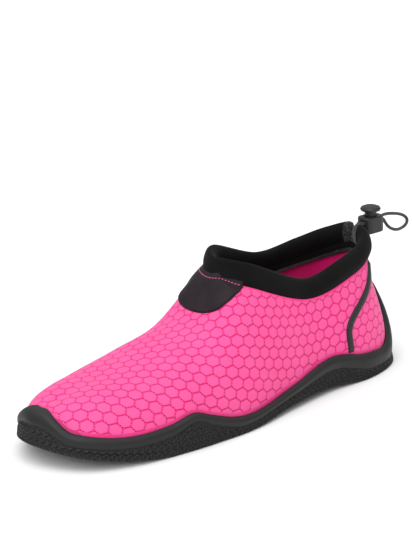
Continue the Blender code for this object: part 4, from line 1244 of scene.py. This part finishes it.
tape_rubber = speckled("tape_rubber", RUBBER, RUBBER_PALE, 0.0005, 0.007, (0.40, 0.54), 0.00015, 1.5,
                       Roughness=0.46, Specular_IOR_Level=0.42)
path = spline(TAPE, np.linspace(0, len(TAPE) - 1, TAPE_ROWS))
row = np.arange(TAPE_ROWS)
end = np.clip(np.minimum(row, row[::-1]) / 3, 0, 1)[:, None]
for name, node, side in (("seam_tape_outer", "side_tape_outer", 1), ("seam_tape_inner", "side_tape_inner", -1)):
    turn = path[:, 0] if side > 0 else 2 * TOE - path[:, 0]
    rise = wall_rise(turn, path[:, 1])
    centre = surface(turn, rise)
    tape_out = outward(turn, rise)
    along = unit(np.gradient(centre, axis=0))
    aside = unit(np.cross(tape_out, along)) * TAPE_WIDTH / 2
    rows = [centre + aside * share + tape_out * (GAP * 0.4 + lift * TAPE_THICKNESS * (0.25 + 0.75 * end))
            for share, lift in TAPE_SECTION]
    tape = place_piece(name, grid_mesh(name, np.array(rows)), tape_rubber)
    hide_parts(node)


# Stitching: pink thread along the patch's rear edge and along the collar seam, in short stitches.
THREAD_PINK = (0.95, 0.20, 0.46)
THREAD_DARK = (0.72, 0.05, 0.24)
STITCH_LONG, STITCH_SPACE = 0.0012, 0.0019
PATCH_THREAD, COLLAR_THREAD = 0.00045, 0.00034
STITCH_SIDES = 6
STITCH_INSET = 0.0011
STITCH_PASSES = 40
SEAM_DROP = 0.0022
THREAD_LIFT = 0.00005
STITCH_RINGS = ((-0.5, 0.25), (-0.38, 0.8), (-0.12, 1.0), (0.12, 1.0), (0.38, 0.8), (0.5, 0.25))


def thread():
    made, paint, body = new_material("sewing_thread", Roughness=0.62, Sheen_Weight=0.3, Specular_IOR_Level=0.35)
    place = paint.object_place()
    twist = paint.noise(place, 0.00025, 1.0)
    # Darker in the twist's dips, pinker on its crests: painted shade along the thread.
    dress(body, Base_Color=paint.mixed(paint.ramp(twist, 0.35, 0.65), THREAD_DARK, THREAD_PINK),
          Normal=paint.bump(twist, 0.00008, 0.6))
    return made


thread_cloth = thread()


def sewn_line(name, points, normals, thick):
    """A row of stitches along a line of points, joined into one mesh."""
    length = run_length(points)
    verts, faces = [], []
    for centre in np.arange(STITCH_SPACE / 2, length[-1], STITCH_SPACE):
        place = read_line(points, length, centre)
        way = unit(read_line(points, length, centre + STITCH_LONG / 3) - place)
        out = unit(read_line(normals, length, centre))
        aside = np.cross(out, way)
        start = len(verts)
        for along, wide in STITCH_RINGS:
            for k in range(STITCH_SIDES):
                turn = 2 * math.pi * k / STITCH_SIDES
                around = (aside * math.cos(turn) + out * math.sin(turn)) * wide * thick / 2
                verts.append(place + way * along * STITCH_LONG + around)
        for ring in range(len(STITCH_RINGS) - 1):
            for k in range(STITCH_SIDES):
                a, b = (start + ring * STITCH_SIDES + corner % STITCH_SIDES for corner in (k, k + 1))
                faces.append((a, b, b + STITCH_SIDES, a + STITCH_SIDES))
    mesh = bpy.data.meshes.new(name)
    mesh.from_pydata([tuple(v) for v in verts], [], faces)
    mesh.shade_smooth()
    place_piece(name, mesh, thread_cloth)


reach = front_line - seam_line
ahead = np.minimum(STITCH_INSET / np.maximum(np.linalg.norm(reach, axis=1), 0.004), 0.5)[:, None]
sewn_at, sewn_out = on_vamp(seam_line + reach * ahead)
for _ in range(STITCH_PASSES):
    for run in (sewn_at, sewn_out):
        run[1:-1] = (run[:-2] + 2 * run[1:-1] + run[2:]) / 4
sewn_out = unit(sewn_out)
sewn_at = sewn_at + sewn_out * (PATCH_THICKNESS + GAP + THREAD_LIFT)
sewn_line("patch_stitches", sewn_at[6:-6], sewn_out[6:-6], PATCH_THREAD)
for name, first_turn, last_turn in (("collar_stitches_outer", 4.25, 1.15), ("collar_stitches_inner", 15.75, 18.85)):
    turn = np.linspace(first_turn, last_turn, 200)
    drop = 1 - SEAM_DROP / np.linalg.norm(top_at(turn) - feather_at(turn), axis=1)
    line_out = outward(turn, drop)
    sewn_line(name, surface(turn, drop) + line_out * THREAD_LIFT, line_out, COLLAR_THREAD)


# Cord lock: two moulded plastic pieces, a barrel and a sprung push button, which grip the cord.
LOCK_PLASTIC = (0.0085, 0.0085, 0.0088)
LOCK_PALE = (0.015, 0.015, 0.0156)

lock_plastic = speckled("moulded_plastic", LOCK_PLASTIC, LOCK_PALE, 0.0003, 0.005, (0.38, 0.52), 0.00004,
                        Roughness=0.45, Specular_IOR_Level=0.45)
for name in ("cord_lock_body", "cord_lock_button"):
    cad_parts[name].material_slots[0].material = lock_plastic
